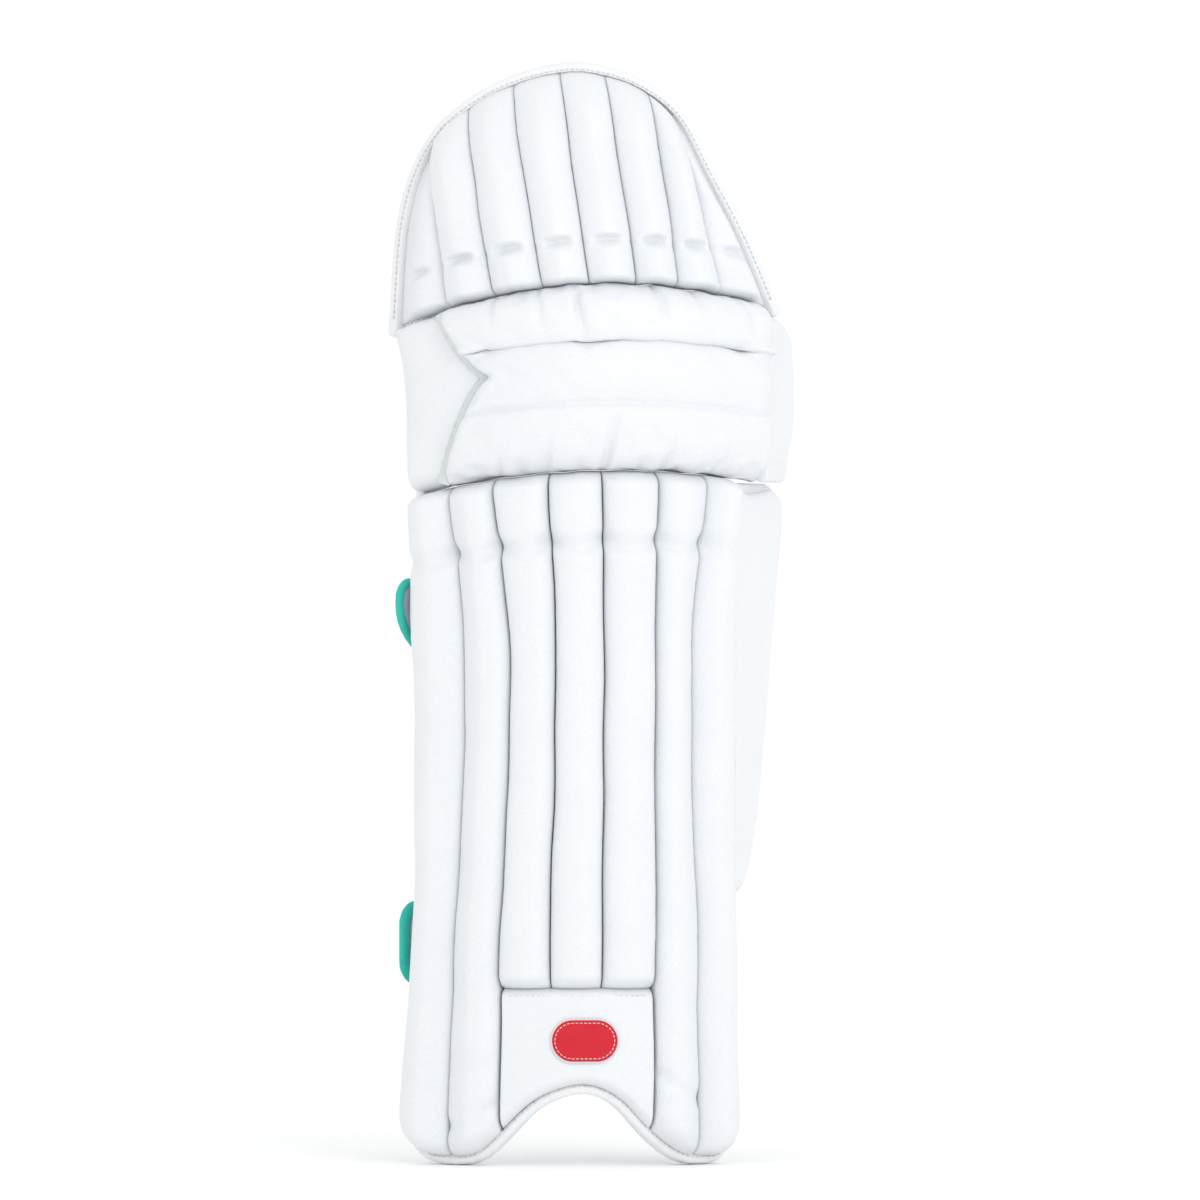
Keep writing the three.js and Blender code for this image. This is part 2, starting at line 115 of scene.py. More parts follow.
WING = {
    "x": 80, "y": -12, "lean": 66, "thick": 11, "front": -9,
    "crown": ((-9, 3), (2, 0), (10, -2), (30, -2), (50, 0)),
}
WING_WIDTH = (
    (168, 1), (190, 17), (228, 31), (270, 41), (327, 53), (375, 64), (400, 68.5), (411, 66), (417.6, 52),
)
WING_PROUD = 2  # the padding stands out a little on the outer side
KNEE_WING = {"x": 101, "y": 4, "lean": 73, "thick": 10, "front": -14, "crown": ((0, 0), (1, 0))}
KNEE_WING_WIDTH = (
    (429.5, 2), (434, 18), (441, 35), (454, 47), (475, 50), (497, 47), (515, 33), (521, 15), (522.8, 2),
)
SIDE_PANEL = {"x": -97, "y": -5, "front": -14, "depth": 44, "thick": 6, "bottom": 72, "top": 386}

# ------------------------------------------------------------------ shape functions


def smooth(knots):
    """A smooth function through (at, value) knots, level beyond its ends."""
    at, value = np.array(sorted(knots), float).T
    slope = np.gradient(value, at)

    def curve(x):
        x = np.clip(x, at[0], at[-1])
        i = np.clip(np.searchsorted(at, x, side="right") - 1, 0, len(at) - 2)
        h = at[i + 1] - at[i]
        t = (x - at[i]) / h
        start = value[i] * (1 + 2 * t) * (1 - t) ** 2 + slope[i] * h * t * (1 - t) ** 2
        return start + value[i + 1] * t * t * (3 - 2 * t) - slope[i + 1] * h * t * t * (1 - t)

    return curve


def lerp(a, b, t):
    return a + (b - a) * t


def ripple(s, wavelength, seed):
    """A smooth, irregular wave of about unit height along s."""
    rng = np.random.default_rng(seed)
    total = 0
    for _ in range(4):
        pitch = wavelength * rng.uniform(0.7, 1.4)
        total = total + np.sin(2 * np.pi * s / pitch + rng.uniform(0, 2 * np.pi))
    return total / 2.4


def rise(distance, radius, power=2.4):
    """0 at a sewn edge and 1 once radius away from it, round in between."""
    t = np.clip(1 - distance / radius, 0, 1)
    return (1 - t**power) ** (1 / power)


def bell(distance, width, power=2):
    """1 at no distance, falling off smoothly over a width."""
    return np.exp(-((distance / width) ** power))


def graded(length, fine=0.9, coarse=2.6):
    """Places from 0 to 1 along a length, closer together near both ends."""
    reach = 14
    s = [0.0]
    while s[-1] < length / 2:
        s.append(s[-1] + fine + (coarse - fine) * min(s[-1] / reach, 1))
    half = np.array(s) / s[-1] / 2
    return np.concatenate([half, 1 - half[-2::-1]])


def run_along(points):
    """The distance of each point along a polyline."""
    return np.concatenate([[0], np.cumsum(np.linalg.norm(np.diff(points, axis=0), axis=1))])


def evenly(points, count):
    """count points spread evenly along a polyline."""
    points = np.asarray(points, float)
    run = run_along(points)
    at = np.linspace(0, run[-1], count)
    return np.stack([np.interp(at, run, points[:, i]) for i in range(points.shape[1])], -1)


def spline(points, count):
    """A smooth line through points, resampled evenly."""
    steps = 24
    points = np.asarray(points, float)
    padded = np.vstack([2 * points[0] - points[1], points, 2 * points[-1] - points[-2]])
    t = np.linspace(0, 1, steps, endpoint=False)[:, None]
    spans = []
    for a, b, c, d in zip(padded, padded[1:], padded[2:], padded[3:]):
        bend, twist = 2 * a - 5 * b + 4 * c - d, 3 * b - a - 3 * c + d
        spans.append(0.5 * (2 * b + (c - a) * t + bend * t**2 + twist * t**3))
    return evenly(np.vstack(spans + [points[-1:]]), count)


centre_x = smooth([(0, -14.5), (112, -11.6), (348, -10.5), (422, -9), (480, -8), (680, -8)])
seam_radius = smooth([(0, 149), (112, 143), (348, 142), (422, 146), (480, 150), (680, 150)])
nose_y = smooth(
    [(0, -56), (60, -52), (120, -50), (400, -50), (480, -57), (540, -53), (610, -42), (680, -27)]
)


def metres(x, y, z):
    return MM * np.stack(np.broadcast_arrays(x, y, z), -1)


def on_pad(x, z, depth):
    """Points in metres at front-view places (x, z), a depth in front of the backing."""
    x, z, depth = np.broadcast_arrays(*(np.asarray(a, float) for a in (x, z, depth)))
    radius = seam_radius(z) - SEAM_LEVEL
    angle = np.arcsin(np.clip((x - centre_x(z)) / seam_radius(z), -0.98, 0.98))
    reach = radius + depth
    return metres(centre_x(z) + reach * np.sin(angle), nose_y(z) + radius - reach * np.cos(angle), z)


def edge_x(x, z, level=EDGE_LEVEL):
    """The place of a flat edge that is seen at x, since edges lie lower than the seams."""
    radius = seam_radius(z)
    return centre_x(z) + (x - centre_x(z)) * radius / (radius - SEAM_LEVEL + level)


def droop(seam, x):
    """Height of a seam across the pad, slightly wavy where the cloth is gathered."""
    return seam["z"] - seam["fall"] * (x - seam["peak"]) ** 2 + 0.4 * ripple(x, 24, int(seam["z"]))


def shin_seam(k):
    line = smooth([(z, xs[k]) for z, xs in SHIN_SEAMS.items()])
    return lambda z: line(z) + 0.45 * ripple(z, 95, 40 + k)


shin_seams = [shin_seam(k) for k in range(8)]
knee_left = smooth(KNEE_LEFT)


def left_of(line):
    """Unit steps to the left of a line of places, as seen going along it."""
    ahead = np.gradient(line, axis=0)
    ahead /= np.linalg.norm(ahead, axis=1)[:, None]
    return np.stack([-ahead[:, 1], ahead[:, 0]], -1)


def offset_line(line, by):
    """A line of places moved to its right-hand side."""
    return line - by * left_of(line)


def relaxed(line, rounds):
    """A line with its bends softened and its two ends held."""
    for _ in range(rounds):
        middle = (line[:-2] + 2 * line[1:-1] + line[2:]) / 4
        line = np.vstack([line[:1], middle, line[-1:]])
    return line


dome_line = spline([(edge_x(x, z), z) for x, z in DOME], 240)
hat_inside = offset_line(dome_line, TAPE["width"] - 0.6)
hat_peak = int(np.argmax(hat_inside[:, 1]))


def hem_place(x, z):
    """Near the sides the hem's tape draws in under the outer bolsters."""
    under = np.clip((25 - z) / 20, 0, 1) if abs(x) > 60 else 1
    return lerp(x, edge_x(x, z), under), z


hem_line = spline([hem_place(x, z) for x, z in HEM], 220)
hem_line[:, 1] = np.maximum(hem_line[:, 1], 0) + TAPE["width"] / 2
hem_line = relaxed(hem_line, 34)


def hat_side(right, z):
    side = hat_inside[hat_peak:][::-1] if right else hat_inside[: hat_peak + 1]
    return np.interp(z, side[:, 1], side[:, 0])


def hat_top(x):
    return np.interp(x, hat_inside[:, 0], hat_inside[:, 1])


def hem_top(x):
    """Height of the hem tape's inner edge."""
    slope = np.interp(x, hem_line[:, 0], np.abs(np.gradient(hem_line[:, 1], hem_line[:, 0])))
    height = np.interp(x, hem_line[:, 0], hem_line[:, 1])
    return height + (TAPE["width"] / 2 - 0.8) * np.hypot(1, np.minimum(slope, 2.6))


def arrow_seam(z):
    """Left end of the knee rolls: the arrow-shaped seam of the side panel."""
    point, foot, head = KNEE_POINT["z"], KNEE_POINT["foot"], KNEE_POINT["head"]
    low, high = droop(KNEE_BOTTOM, foot), droop(KNEE_TOP, head)
    above = z > point
    t = np.where(above, (z - point) / (high - point), (point - z) / (point - low))
    t = np.hypot(np.clip(t, 0, 1), 0.03) - 0.03
    return lerp(KNEE_POINT["x"], np.where(above, head, foot), t**0.6)


# ------------------------------------------------------------------ mesh builders


def new_object(name, points, faces, look, fields):
    """A smooth-shaded mesh of four-sided faces; fields hold a value or a vector for each point."""
    mesh = bpy.data.meshes.new(name)
    mesh.vertices.add(len(points))
    mesh.vertices.foreach_set("co", np.ascontiguousarray(points, np.float32).ravel())
    mesh.loops.add(faces.size)
    mesh.loops.foreach_set("vertex_index", np.ascontiguousarray(faces, np.int32).ravel())
    mesh.polygons.add(len(faces))
    mesh.polygons.foreach_set("loop_start", np.arange(0, faces.size, 4, dtype=np.int32))
    mesh.update(calc_edges=True)
    mesh.validate()
    for field, values in fields.items():
        values = np.asarray(values, np.float32)
        kind = "FLOAT_VECTOR" if values.ndim == 2 else "FLOAT"
        store = mesh.attributes.new(field, kind, "POINT")
        store.data.foreach_set("vector" if values.ndim == 2 else "value", values.ravel())
    mesh.polygons.foreach_set("use_smooth", np.ones(len(mesh.polygons), bool))
    mesh.materials.append(look)
    piece = bpy.data.objects.new(name, mesh)
    bpy.context.scene.collection.objects.link(piece)
    return piece


def refine(piece):
    """Subdivides a piece once and for good, so that what follows works on its final mesh."""
    modifier = piece.modifiers.new("Subdivision", "SUBSURF")
    modifier.levels = modifier.render_levels = 1
    graph = bpy.context.evaluated_depsgraph_get()
    mesh = bpy.data.meshes.new_from_object(piece.evaluated_get(graph), depsgraph=graph)
    piece.modifiers.clear()
    old, piece.data = piece.data, mesh
    mesh.name = old.name
    bpy.data.meshes.remove(old)


def grid_quads(index):
    return np.stack([index[:-1, :-1], index[:-1, 1:], index[1:, 1:], index[1:, :-1]], -1).reshape(-1, 4)


def slab(name, front, back, look, groove, place=None):
    """A closed solid between two grids of points, whose rows go up and columns to the right."""
    rows, columns = front.shape[:2]
    count = rows * columns
    index = np.arange(count).reshape(rows, columns)
    rim = np.concatenate([index[0, :-1], index[:-1, -1], index[-1, :0:-1], index[:0:-1, 0]])
    ahead = np.roll(rim, -1)
    sides = np.stack([rim, rim + count, ahead + count, ahead], -1)
    faces = np.concatenate([grid_quads(index), grid_quads(index + count)[:, ::-1], sides])
    points = np.concatenate([front.reshape(-1, 3), back.reshape(-1, 3)])
    if place is None:
        place = np.stack([front[..., 0], front[..., 2], 0 * front[..., 0]], -1)
    place = place.reshape(-1, 3)
    fields = {"place": np.concatenate([place, place]), "groove": np.tile(groove.ravel(), 2)}
    return new_object(name, points, faces, look, fields)


def tube(name, rings, look, place, closed=False):
    """A solid through rings of points; the ends are closed unless the rings join up."""
    count, around = rings.shape[:2]
    index = np.arange(count * around).reshape(count, around)
    index = np.concatenate([index, index[:, :1]], 1)
    if closed:
        index = np.concatenate([index, index[:1]], 0)
    faces = [grid_quads(index)]
    if not closed:
        near = np.arange(around // 2 - 1)
        far = around - 1 - near
        for row, step in ((0, -1), (count - 1, 1)):
            cap = np.stack([near, near + 1, far - 1, far], -1)[:, ::step] + row * around
            faces.append(cap)
    fields = {"place": place.reshape(-1, 3)}
    piece = new_object(name, rings.reshape(-1, 3), np.concatenate(faces), look, fields)
    face_outwards(piece)
    refine(piece)
    return piece


def face_outwards(piece):
    """Turns a closed mesh the right way out by its signed volume."""
    mesh = piece.data
    mesh.calc_loop_triangles()
    corners = np.empty(len(mesh.loop_triangles) * 3, np.int32)
    mesh.loop_triangles.foreach_get("vertices", corners)
    points = np.empty(len(mesh.vertices) * 3)
    mesh.vertices.foreach_get("co", points)
    a, b, c = points.reshape(-1, 3)[corners.reshape(-1, 3)].transpose(1, 0, 2)
    if np.einsum("ij,ij->", a, np.cross(b, c)) < 0:
        mesh.flip_normals()


def coordinates(piece):
    points = np.empty(len(piece.data.vertices) * 3)
    piece.data.vertices.foreach_get("co", points)
    return points.reshape(-1, 3)


def puff(piece, sewn, pressure, slack, cap):
    """Blows a cover up as cloth that is held where it is sewn, each point moving by at most cap."""
    frames = 14
    scene = bpy.context.scene
    rest = coordinates(piece)
    held = piece.vertex_groups.new(name="sewn")
    for weight in (1.0, 0.6, 0.3):
        chosen = np.flatnonzero(np.isclose(sewn, weight))
        held.add([int(i) for i in chosen], weight, "REPLACE")
    cloth = piece.modifiers.new("Cloth", "CLOTH")
    settings = cloth.settings
    settings.quality = 6
    settings.mass = 0.12
    settings.tension_stiffness = settings.compression_stiffness = 18
    settings.shear_stiffness = 6
    settings.bending_stiffness = 0.35
    settings.tension_damping = settings.compression_damping = 12
    settings.air_damping = 3
    settings.vertex_group_mass = "sewn"
    settings.pin_stiffness = 1
    settings.shrink_min = -slack
    settings.use_pressure = True
    settings.uniform_pressure_force = pressure
    settings.effector_weights.gravity = 0
    cloth.collision_settings.use_collision = False
    cloth.point_cache.frame_start, cloth.point_cache.frame_end = 1, frames
    for moment in range(1, frames + 1):
        scene.frame_set(moment)
    blown = piece.evaluated_get(bpy.context.evaluated_depsgraph_get())
    moved = np.empty(len(rest) * 3)
    blown.data.vertices.foreach_get("co", moved)
    piece.modifiers.remove(cloth)
    scene.frame_set(1)
    move = moved.reshape(-1, 3) - rest
    far = np.linalg.norm(move, axis=1)[:, None]
    move *= np.minimum(1, cap * MM / np.maximum(far, 1e-9))
    piece.data.vertices.foreach_set("co", (rest + move).astype(np.float32).ravel())
    piece.data.update()


# ------------------------------------------------------------------ materials


def node(tree, kind, inputs=None, **settings):
    made = tree.nodes.new("ShaderNode" + kind)
    for key, value in settings.items():
        setattr(made, key, value)
    for key, value in (inputs or {}).items():
        if isinstance(value, bpy.types.NodeSocket):
            tree.links.new(value, made.inputs[key])
        else:
            made.inputs[key].default_value = value
    return made


def blank(name, **sockets):
    material = bpy.data.materials.new(name)
    material.use_nodes = True
    tree = material.node_tree
    shader = tree.nodes["Principled BSDF"]
    for key, value in sockets.items():
        shader.inputs[key.replace("_", " ")].default_value = value
    return material, tree, shader


def math_node(tree, operation, a, b=0.0):
    return node(tree, "Math", {0: a, 1: b}, operation=operation).outputs[0]


def attribute(tree, name, output="Vector"):
    """A field of the mesh: its place on the cloth, or how deep it lies in a groove, which sets its
    painted shade.
    """
    return node(tree, "Attribute", attribute_name=name).outputs[output]


def noise(tree, where, scale, detail, rough=0.5):
    inputs = {"Vector": where, "Scale": scale, "Detail": detail, "Roughness": rough}
    return node(tree, "TexNoise", inputs).outputs["Fac"]


def remap(tree, value, source, target=(0, 1)):
    inputs = {"Value": value, "From Min": source[0], "From Max": source[1]}
    return node(tree, "MapRange", inputs | {"To Min": target[0], "To Max": target[1]}).outputs[0]


def mix(tree, share, first, second):
    first, second = ((*tone, 1) if isinstance(tone, tuple) else tone for tone in (first, second))
    return node(tree, "MixRGB", {"Fac": share, "Color1": first, "Color2": second}).outputs[0]


def finish_look(tree, shader, colour, rough, bumps):
    """Joins colour, roughness and a stack of (height, strength, distance) bumps to the shader."""
    tree.links.new(colour, shader.inputs["Base Color"])
    tree.links.new(rough, shader.inputs["Roughness"])
    normal = None
    for height, strength, distance in bumps:
        inputs = {"Height": height, "Strength": strength, "Distance": distance}
        if normal is not None:
            inputs["Normal"] = normal
        normal = node(tree, "Bump", inputs).outputs["Normal"]
    tree.links.new(normal, shader.inputs["Normal"])


def groove_painted_shade(tree, colour, groove_tone):
    """A colour with painted shade: darker in the grooves along the seams."""
    # Painted shade: the groove field darkens the colour towards groove_tone.
    shade_share = math_node(tree, "MULTIPLY", attribute(tree, "groove", "Fac"), 0.5)
    return mix(tree, shade_share, colour, groove_tone)


def leathercloth(name, light, shade, groove_tone, grain=1.0):
    """Coated white cloth: fine leather grain, faint mottling and painted shade in the grooves along the
    seams.
    """
    material, tree, shader = blank(name, Coat_Weight=0.06, Coat_Roughness=0.35, Specular_IOR_Level=0.42)
    where = node(tree, "TexCoord").outputs["Object"]
    cells = node(tree, "TexVoronoi", {"Vector": where, "Scale": 820 / grain}, feature="SMOOTH_F1")
    pebbles = cells.outputs["Distance"]
    wrinkle = noise(tree, where, 330, 5, 0.62)
    cloudy = remap(tree, noise(tree, where, 21, 4), (0.3, 0.7))
    tone = mix(tree, cloudy, light, shade)
    tone = mix(tree, remap(tree, pebbles, (0.25, 0.75), (0, 0.12)), tone, groove_tone)
    # Painted shade in the grooves along the seams.
    colour = groove_painted_shade(tree, tone, groove_tone)
    rough = remap(tree, wrinkle, (0, 1), (0.38, 0.56))
    finish_look(tree, shader, colour, rough, [(pebbles, 0.12, 0.00018), (wrinkle, 0.14, 0.0003)])
    return material


def weave_height(tree, where, pitch_x, pitch_y):
    """Over-and-under threads, from two crossed waves."""
    parts = node(tree, "SeparateXYZ", {0: where})
    waves = []
    for output, pitch in (("X", pitch_x), ("Y", pitch_y)):
        turns = math_node(tree, "MULTIPLY", parts.outputs[output], 2 * math.pi / (pitch * MM))
        waves.append(math_node(tree, "SINE", turns))
    return math_node(tree, "MULTIPLY", *waves)


def woven(name, light, shade, pitch_x, pitch_y, rough=(0.65, 0.9), sheen=0.25):
    """Plain weave with a thread pitch each way: strap cloth, tape, badge and sewing thread."""
    material, tree, shader = blank(name, Sheen_Weight=sheen, Sheen_Roughness=0.5, Specular_IOR_Level=0.3)
    where = attribute(tree, "place")
    threads = weave_height(tree, where, pitch_x, pitch_y)
    level = remap(tree, threads, (-1, 1))
    fuzz = noise(tree, where, 900, 6, 0.7)
    cloudy = math_node(tree, "MULTIPLY", noise(tree, where, 60, 3), 0.4)
    mixed = math_node(tree, "ADD", math_node(tree, "MULTIPLY", level, 0.6), cloudy)
    colour = mix(tree, mixed, shade, light)
    roughness = remap(tree, fuzz, (0, 1), rough)
    finish_look(tree, shader, colour, roughness, [(level, 0.55, 0.0003), (fuzz, 0.3, 0.0004)])
    return material


def knitted(name, light, shade):
    """Spacer-mesh lining: a regular field of small pits, with fuzz between them."""
    material, tree, shader = blank(name, Sheen_Weight=0.3, Sheen_Roughness=0.6, Specular_IOR_Level=0.25)
    where = attribute(tree, "place")
    turned = node(tree, "Mapping", {"Vector": where, "Rotation": (0, 0, math.radians(45))}).outputs[0]
    inputs = {"Vector": turned, "Scale": 430, "Randomness": 0.0}
    pits = node(tree, "TexVoronoi", inputs, voronoi_dimensions="2D").outputs["Distance"]
    open_pit = remap(tree, pits, (0.16, 0.42))
    fuzz = noise(tree, where, 1400, 4)
    colour = mix(tree, math_node(tree, "MULTIPLY", open_pit, 0.9), shade, light)
    # Painted shade in the grooves along the lining's seams and quilting.
    colour = groove_painted_shade(tree, colour, shade)
    rough = remap(tree, fuzz, (0, 1), (0.75, 0.95))
    finish_look(tree, shader, colour, rough, [(open_pit, 0.7, 0.0006), (fuzz, 0.35, 0.0003)])
    return material


def fibrous(name, light, shade, scale, stretch=(1, 1, 1), depth=0.0008, rough=(0.8, 1.0)):
    """Foam, brushed pile and cane: noise that may be drawn out along one direction."""
    material, tree, shader = blank(name, Specular_IOR_Level=0.2)
    where = node(tree, "TexCoord").outputs["Object"]
    drawn = node(tree, "Mapping", {"Vector": where, "Scale": stretch}).outputs[0]
    hairs = noise(tree, drawn, scale, 7, 0.7)
    colour = mix(tree, hairs, shade, light)
    roughness = remap(tree, hairs, (0, 1), rough)
    finish_look(tree, shader, colour, roughness, [(hairs, 0.8, depth)])
    return material


FACING = leathercloth("white_leathercloth", (0.8, 0.82, 0.842), (0.782, 0.803, 0.83), (0.5, 0.54, 0.56))
TAPE_LOOK = leathercloth(
    "white_tape", (0.83, 0.84, 0.85), (0.81, 0.822, 0.835), (0.5, 0.53, 0.54), grain=0.7
)
# The arrow piping's grey is painted shade, standing for the shaded wall at the left end of the knee
# rolls.
ARROW_SHADE_LOOK = leathercloth(
    "arrow_painted_shade", (0.7, 0.73, 0.74), (0.64, 0.67, 0.68), (0.4, 0.43, 0.43), grain=0.7
)
LINING_LOOK = knitted("knitted_lining", (0.8, 0.82, 0.84), (0.5, 0.53, 0.56))
STRAP_LOOK = woven("strap_cloth", (0.56, 0.58, 0.68), (0.38, 0.4, 0.5), 1.5, 1.5)
TEAL_LOOK = woven("teal_tape", (0.03, 0.62, 0.5), (0.015, 0.4, 0.33), 0.9, 1.3, rough=(0.5, 0.7))
THREAD = woven("white_thread", (0.86, 0.87, 0.87), (0.6, 0.61, 0.61), 0.5, 0.5, rough=(0.5, 0.7))
BADGE_LOOK = woven(
    "red_badge", (0.76, 0.02, 0.04), (0.55, 0.01, 0.022), 0.7, 0.9, rough=(0.5, 0.75), sheen=0.08
)
PILE_LOOK = fibrous("loop_pile", (0.78, 0.79, 0.8), (0.5, 0.52, 0.54), 900)
HOOK_LOOK = fibrous("hook_tape", (0.62, 0.64, 0.68), (0.35, 0.37, 0.4), 1300)
CANE_LOOK = fibrous(
    "split_cane", (0.66, 0.45, 0.2), (0.4, 0.24, 0.1), 420, stretch=(1, 1, 0.06), rough=(0.45, 0.7)
)
FOAM_LOOK = fibrous("wadding", (0.85, 0.8, 0.62), (0.66, 0.6, 0.42), 500)

CAD_LOOKS = {"_core_": CANE_LOOK, "knee_roll_core": FOAM_LOOK, "foam": FOAM_LOOK}
for name, cad_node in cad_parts.items():
    for part, look in CAD_LOOKS.items():
        if part in name:
            cad_node.data.materials.clear()
            cad_node.data.materials.append(look)

# ------------------------------------------------------------------ how pieces move

ACROSS_JOINT = {  # soft pieces that bend between two bodies: where they start and stop
    "shin_lining": ("shin", "knee", (0, 0, 0.410), (0, 0, 0.424)),
    "shin_top": ("shin", "knee", (0, 0, 0.390), (0, 0, 0.424)),
    "hat_foot": ("knee", "top_hat", (0, 0, 0.536), (0, 0, 0.568)),
}


def settle(piece, body=None, across=None, replaces=()):
    """Attaches a piece to its body, or fixes its mesh in place where it lies across two bodies, and
    hides the CAD parts that it replaces.
    """
    if across:
        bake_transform(piece)
    else:
        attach(piece, body)
    if replaces:
        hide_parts(*replaces)
    return piece


# ------------------------------------------------------------------ bolsters

ARCH_WIDTH = 31  # width of a common bolster
SHIN_FOOT, SHIN_HEAD = 30, 420  # heights at which the shin's seams start and stop
SHORT_LENGTH, LONG_LENGTH = 318, 410  # a bolster over the instep, and one that reaches the foot
HAT_FOOT = (-122, 113)  # left and right corner of the top hat's foot
LEAST = 0.3  # thickness that a cover keeps at its seams


def half_arch(wall, power):
    """Half a stuffed channel's section: pressed flat against its neighbour up to wall, round above."""
    turn = np.linspace(0, np.pi / 2, 300)
    side = -ARCH_WIDTH / 2 * np.cos(turn) ** (2 / power)
    lift = wall + (BOLSTER_DEPTH - wall) * np.sin(turn) ** (2 / power)
    return evenly(np.vstack([(-ARCH_WIDTH / 2, 0), np.stack([side, lift], -1)]), 15)


HALF_ARCHES = {"tight": half_arch(11, 2.3), "firm": half_arch(12, 1.45), "soft": half_arch(11.5, 1.25)}


def arch_profile(left, right):
    """Shares across and lifts of a channel whose two sides may be sewn differently."""
    shape = np.vstack([HALF_ARCHES[left], (HALF_ARCHES[right] * (-1, 1))[-2::-1]])
    return shape[:, 0] / ARCH_WIDTH + 0.5, shape[:, 1] / BOLSTER_DEPTH


SHIN_GAPS = (0.1, 0.03, 0.17, 0.2, 0.2, 0.15, 0.03, 0.1)  # how far each cover stays off its seam
HAT_GAPS = (0.02, 0.05, 0.08, 0.1, 0.08, 0.05, 0.03)
FOOT_PILLOWS = {1: 19, 5: 36}  # bolsters that end in a small pillow, and its height
FULL_SIDES = {0: -1, 6: 1}  # the pad's outer sides, which the crease hardly reaches
SOFT_SEAMS = (1, 6)  # the shin's wide, shallow valleys


def bolster(name, place_at, length, depth, ends, crease, seed, sides, outer=None, coarse=2.6):
    """A stuffed channel; place_at(across, along) gives its front-view place."""
    along = graded(length, fine=0.45, coarse=coarse)[:, None]
    across, lift = (row[None, :] for row in arch_profile(*sides))
    x, z = place_at(across, along)
    foot, head = z[:1], z[-1:]
    from_foot, from_head = z - foot, head - z
    swell = rise(from_foot, ends[0][0], ends[0][1]) * rise(from_head, ends[1][0], ends[1][1])
    if outer:  # the top hat's outer wedges lie flatter towards their taped edge
        inwards = (x - x[:, :1]) if outer[0] == "left" else (x[:, -1:] - x)
        share = np.clip(inwards / outer[1], 0, 1)
        swell = swell * lerp(0.15, 1, share * share * (3 - 2 * share))
    side = np.abs(2 * across - 1)
    # The crease across the bolster, and the slight fullness above it.
    crease_z = crease["z"](x) + crease["bow"] * (1 - side**2)
    crease_width = np.where(z > crease_z, crease.get("upper", crease["width"]), crease["width"])
    dip = crease["deep"] * crease["shape"](side) * bell(z - crease_z, crease_width)
    dip = dip * (1 - 0.62 * np.clip(crease.get("full", 0) * (2 * across - 1), 0, 1))
    swell = swell * (1 - dip) * (1 + 0.035 * bell(z - crease_z - 22, 16))
    if "foot" in crease:  # the neck above the small pillow at its foot
        neck = bell(from_foot - crease["foot"], 4.5)
        swell = swell * (1 - 0.3 * (0.2 + 0.8 * side**2) * neck)
    # Uneven filling, and the cloth gathered along the seams and at both ends.
    uneven = 1 + 0.022 * ripple(z, 70, seed) + 0.012 * ripple(z + 9 * across, 31, seed + 1)
    near_seam = np.exp(-((1 - side) / 0.22))
    pucker = 0.3 * near_seam * ripple(z, 10, seed + 2 + (across > 0.5))
    span = ARCH_WIDTH * across
    pucker = pucker + 0.55 * np.exp(-from_head / 9) * ripple(span + 0.08 * from_head, 7, seed + 4)
    pucker = pucker + 0.45 * np.exp(-from_foot / 8) * ripple(span, 8, seed + 5)
    pucker = pucker * lift**0.5 * np.minimum(swell * 1.5, 1)
    thick = np.maximum(depth * lift * swell * uneven + pucker, LEAST)
    front = on_pad(x, z, thick)
    back = on_pad(x, z, BACKING)
    # The groove field marks painted shade where the cover runs thin beside its seams.
    groove = bell(thick, 0.42 * depth, 4) * (lift < 0.6)
    piece = slab(name, front, back, FACING, groove + 0 * x)
    sewn = np.zeros((2,) + thick.shape)  # 1 where the front and back are held, less beside it
    sewn[1] = 1
    sewn[0, :, [0, 1, -2, -1]] = 1
    sewn[0, [0, -1]] = 1
    sewn[0, :, [2, -3]] = 0.6
    sewn[0, [1, -2]] = 0.6
    puff(piece, sewn.ravel(), pressure=1.6, slack=0.03, cap=1.8)
    refine(piece)
    return piece


for k in range(7):
    over_instep = 2 <= k <= 4

    def shin_place(across, along, k=k, over_instep=over_instep):
        low = lerp(shin_seams[k](SHIN_FOOT), shin_seams[k + 1](SHIN_FOOT), across)
        high = lerp(shin_seams[k](SHIN_HEAD), shin_seams[k + 1](SHIN_HEAD), across)
        foot = INSTEP_TOP - 1 + 0 * low if over_instep else hem_top(low)
        z = lerp(foot, droop(KNEE_BOTTOM, high) - 0.3, along)
        return lerp(shin_seams[k](z) + SHIN_GAPS[k], shin_seams[k + 1](z) - SHIN_GAPS[k + 1], across), z

    crease = {
        "z": lambda x: droop(KNEE_BOTTOM, x) - 42,
        "deep": 0.44,
        "width": 5,
        "bow": -4.5,
        "shape": lambda side: 0.32 + 0.68 * side**1.6,
    }
    if k in FOOT_PILLOWS:
        crease["foot"] = FOOT_PILLOWS[k]
    if k in FULL_SIDES:
        crease["full"] = FULL_SIDES[k]
    length = SHORT_LENGTH if over_instep else LONG_LENGTH
    ends = ((9, 1.7) if over_instep else (16, 2.4), (9, 1.8))
    sides = ["soft" if seam in SOFT_SEAMS else "tight" for seam in (k, k + 1)]
    name = f"shin_bolster_{k + 1}"
    piece = bolster(name, shin_place, length, BOLSTER_DEPTH, ends, crease, 100 + 10 * k, sides)
    solid = f"shin_bolster_cover_{k + 1}"
    settle(piece, across=ACROSS_JOINT["shin_top"], replaces=[solid])


def hat_seam_x(seam, z):
    foot, head, top = seam
    start = droop(KNEE_TOP, foot)
    return foot + (head - foot) * (z - start) / (top - start) + 0.4 * ripple(z, 80, int(foot) + 200)


def wedge_top(right):
    """Height at which a side seam of the top hat runs into the taped edge."""
    heights = np.arange(600, 668, 0.5)
    room = np.abs(hat_side(right, heights) - hat_seam_x(HAT_SEAMS[-1 if right else 0], heights))
    return heights[np.argmax(room < 1.2)]


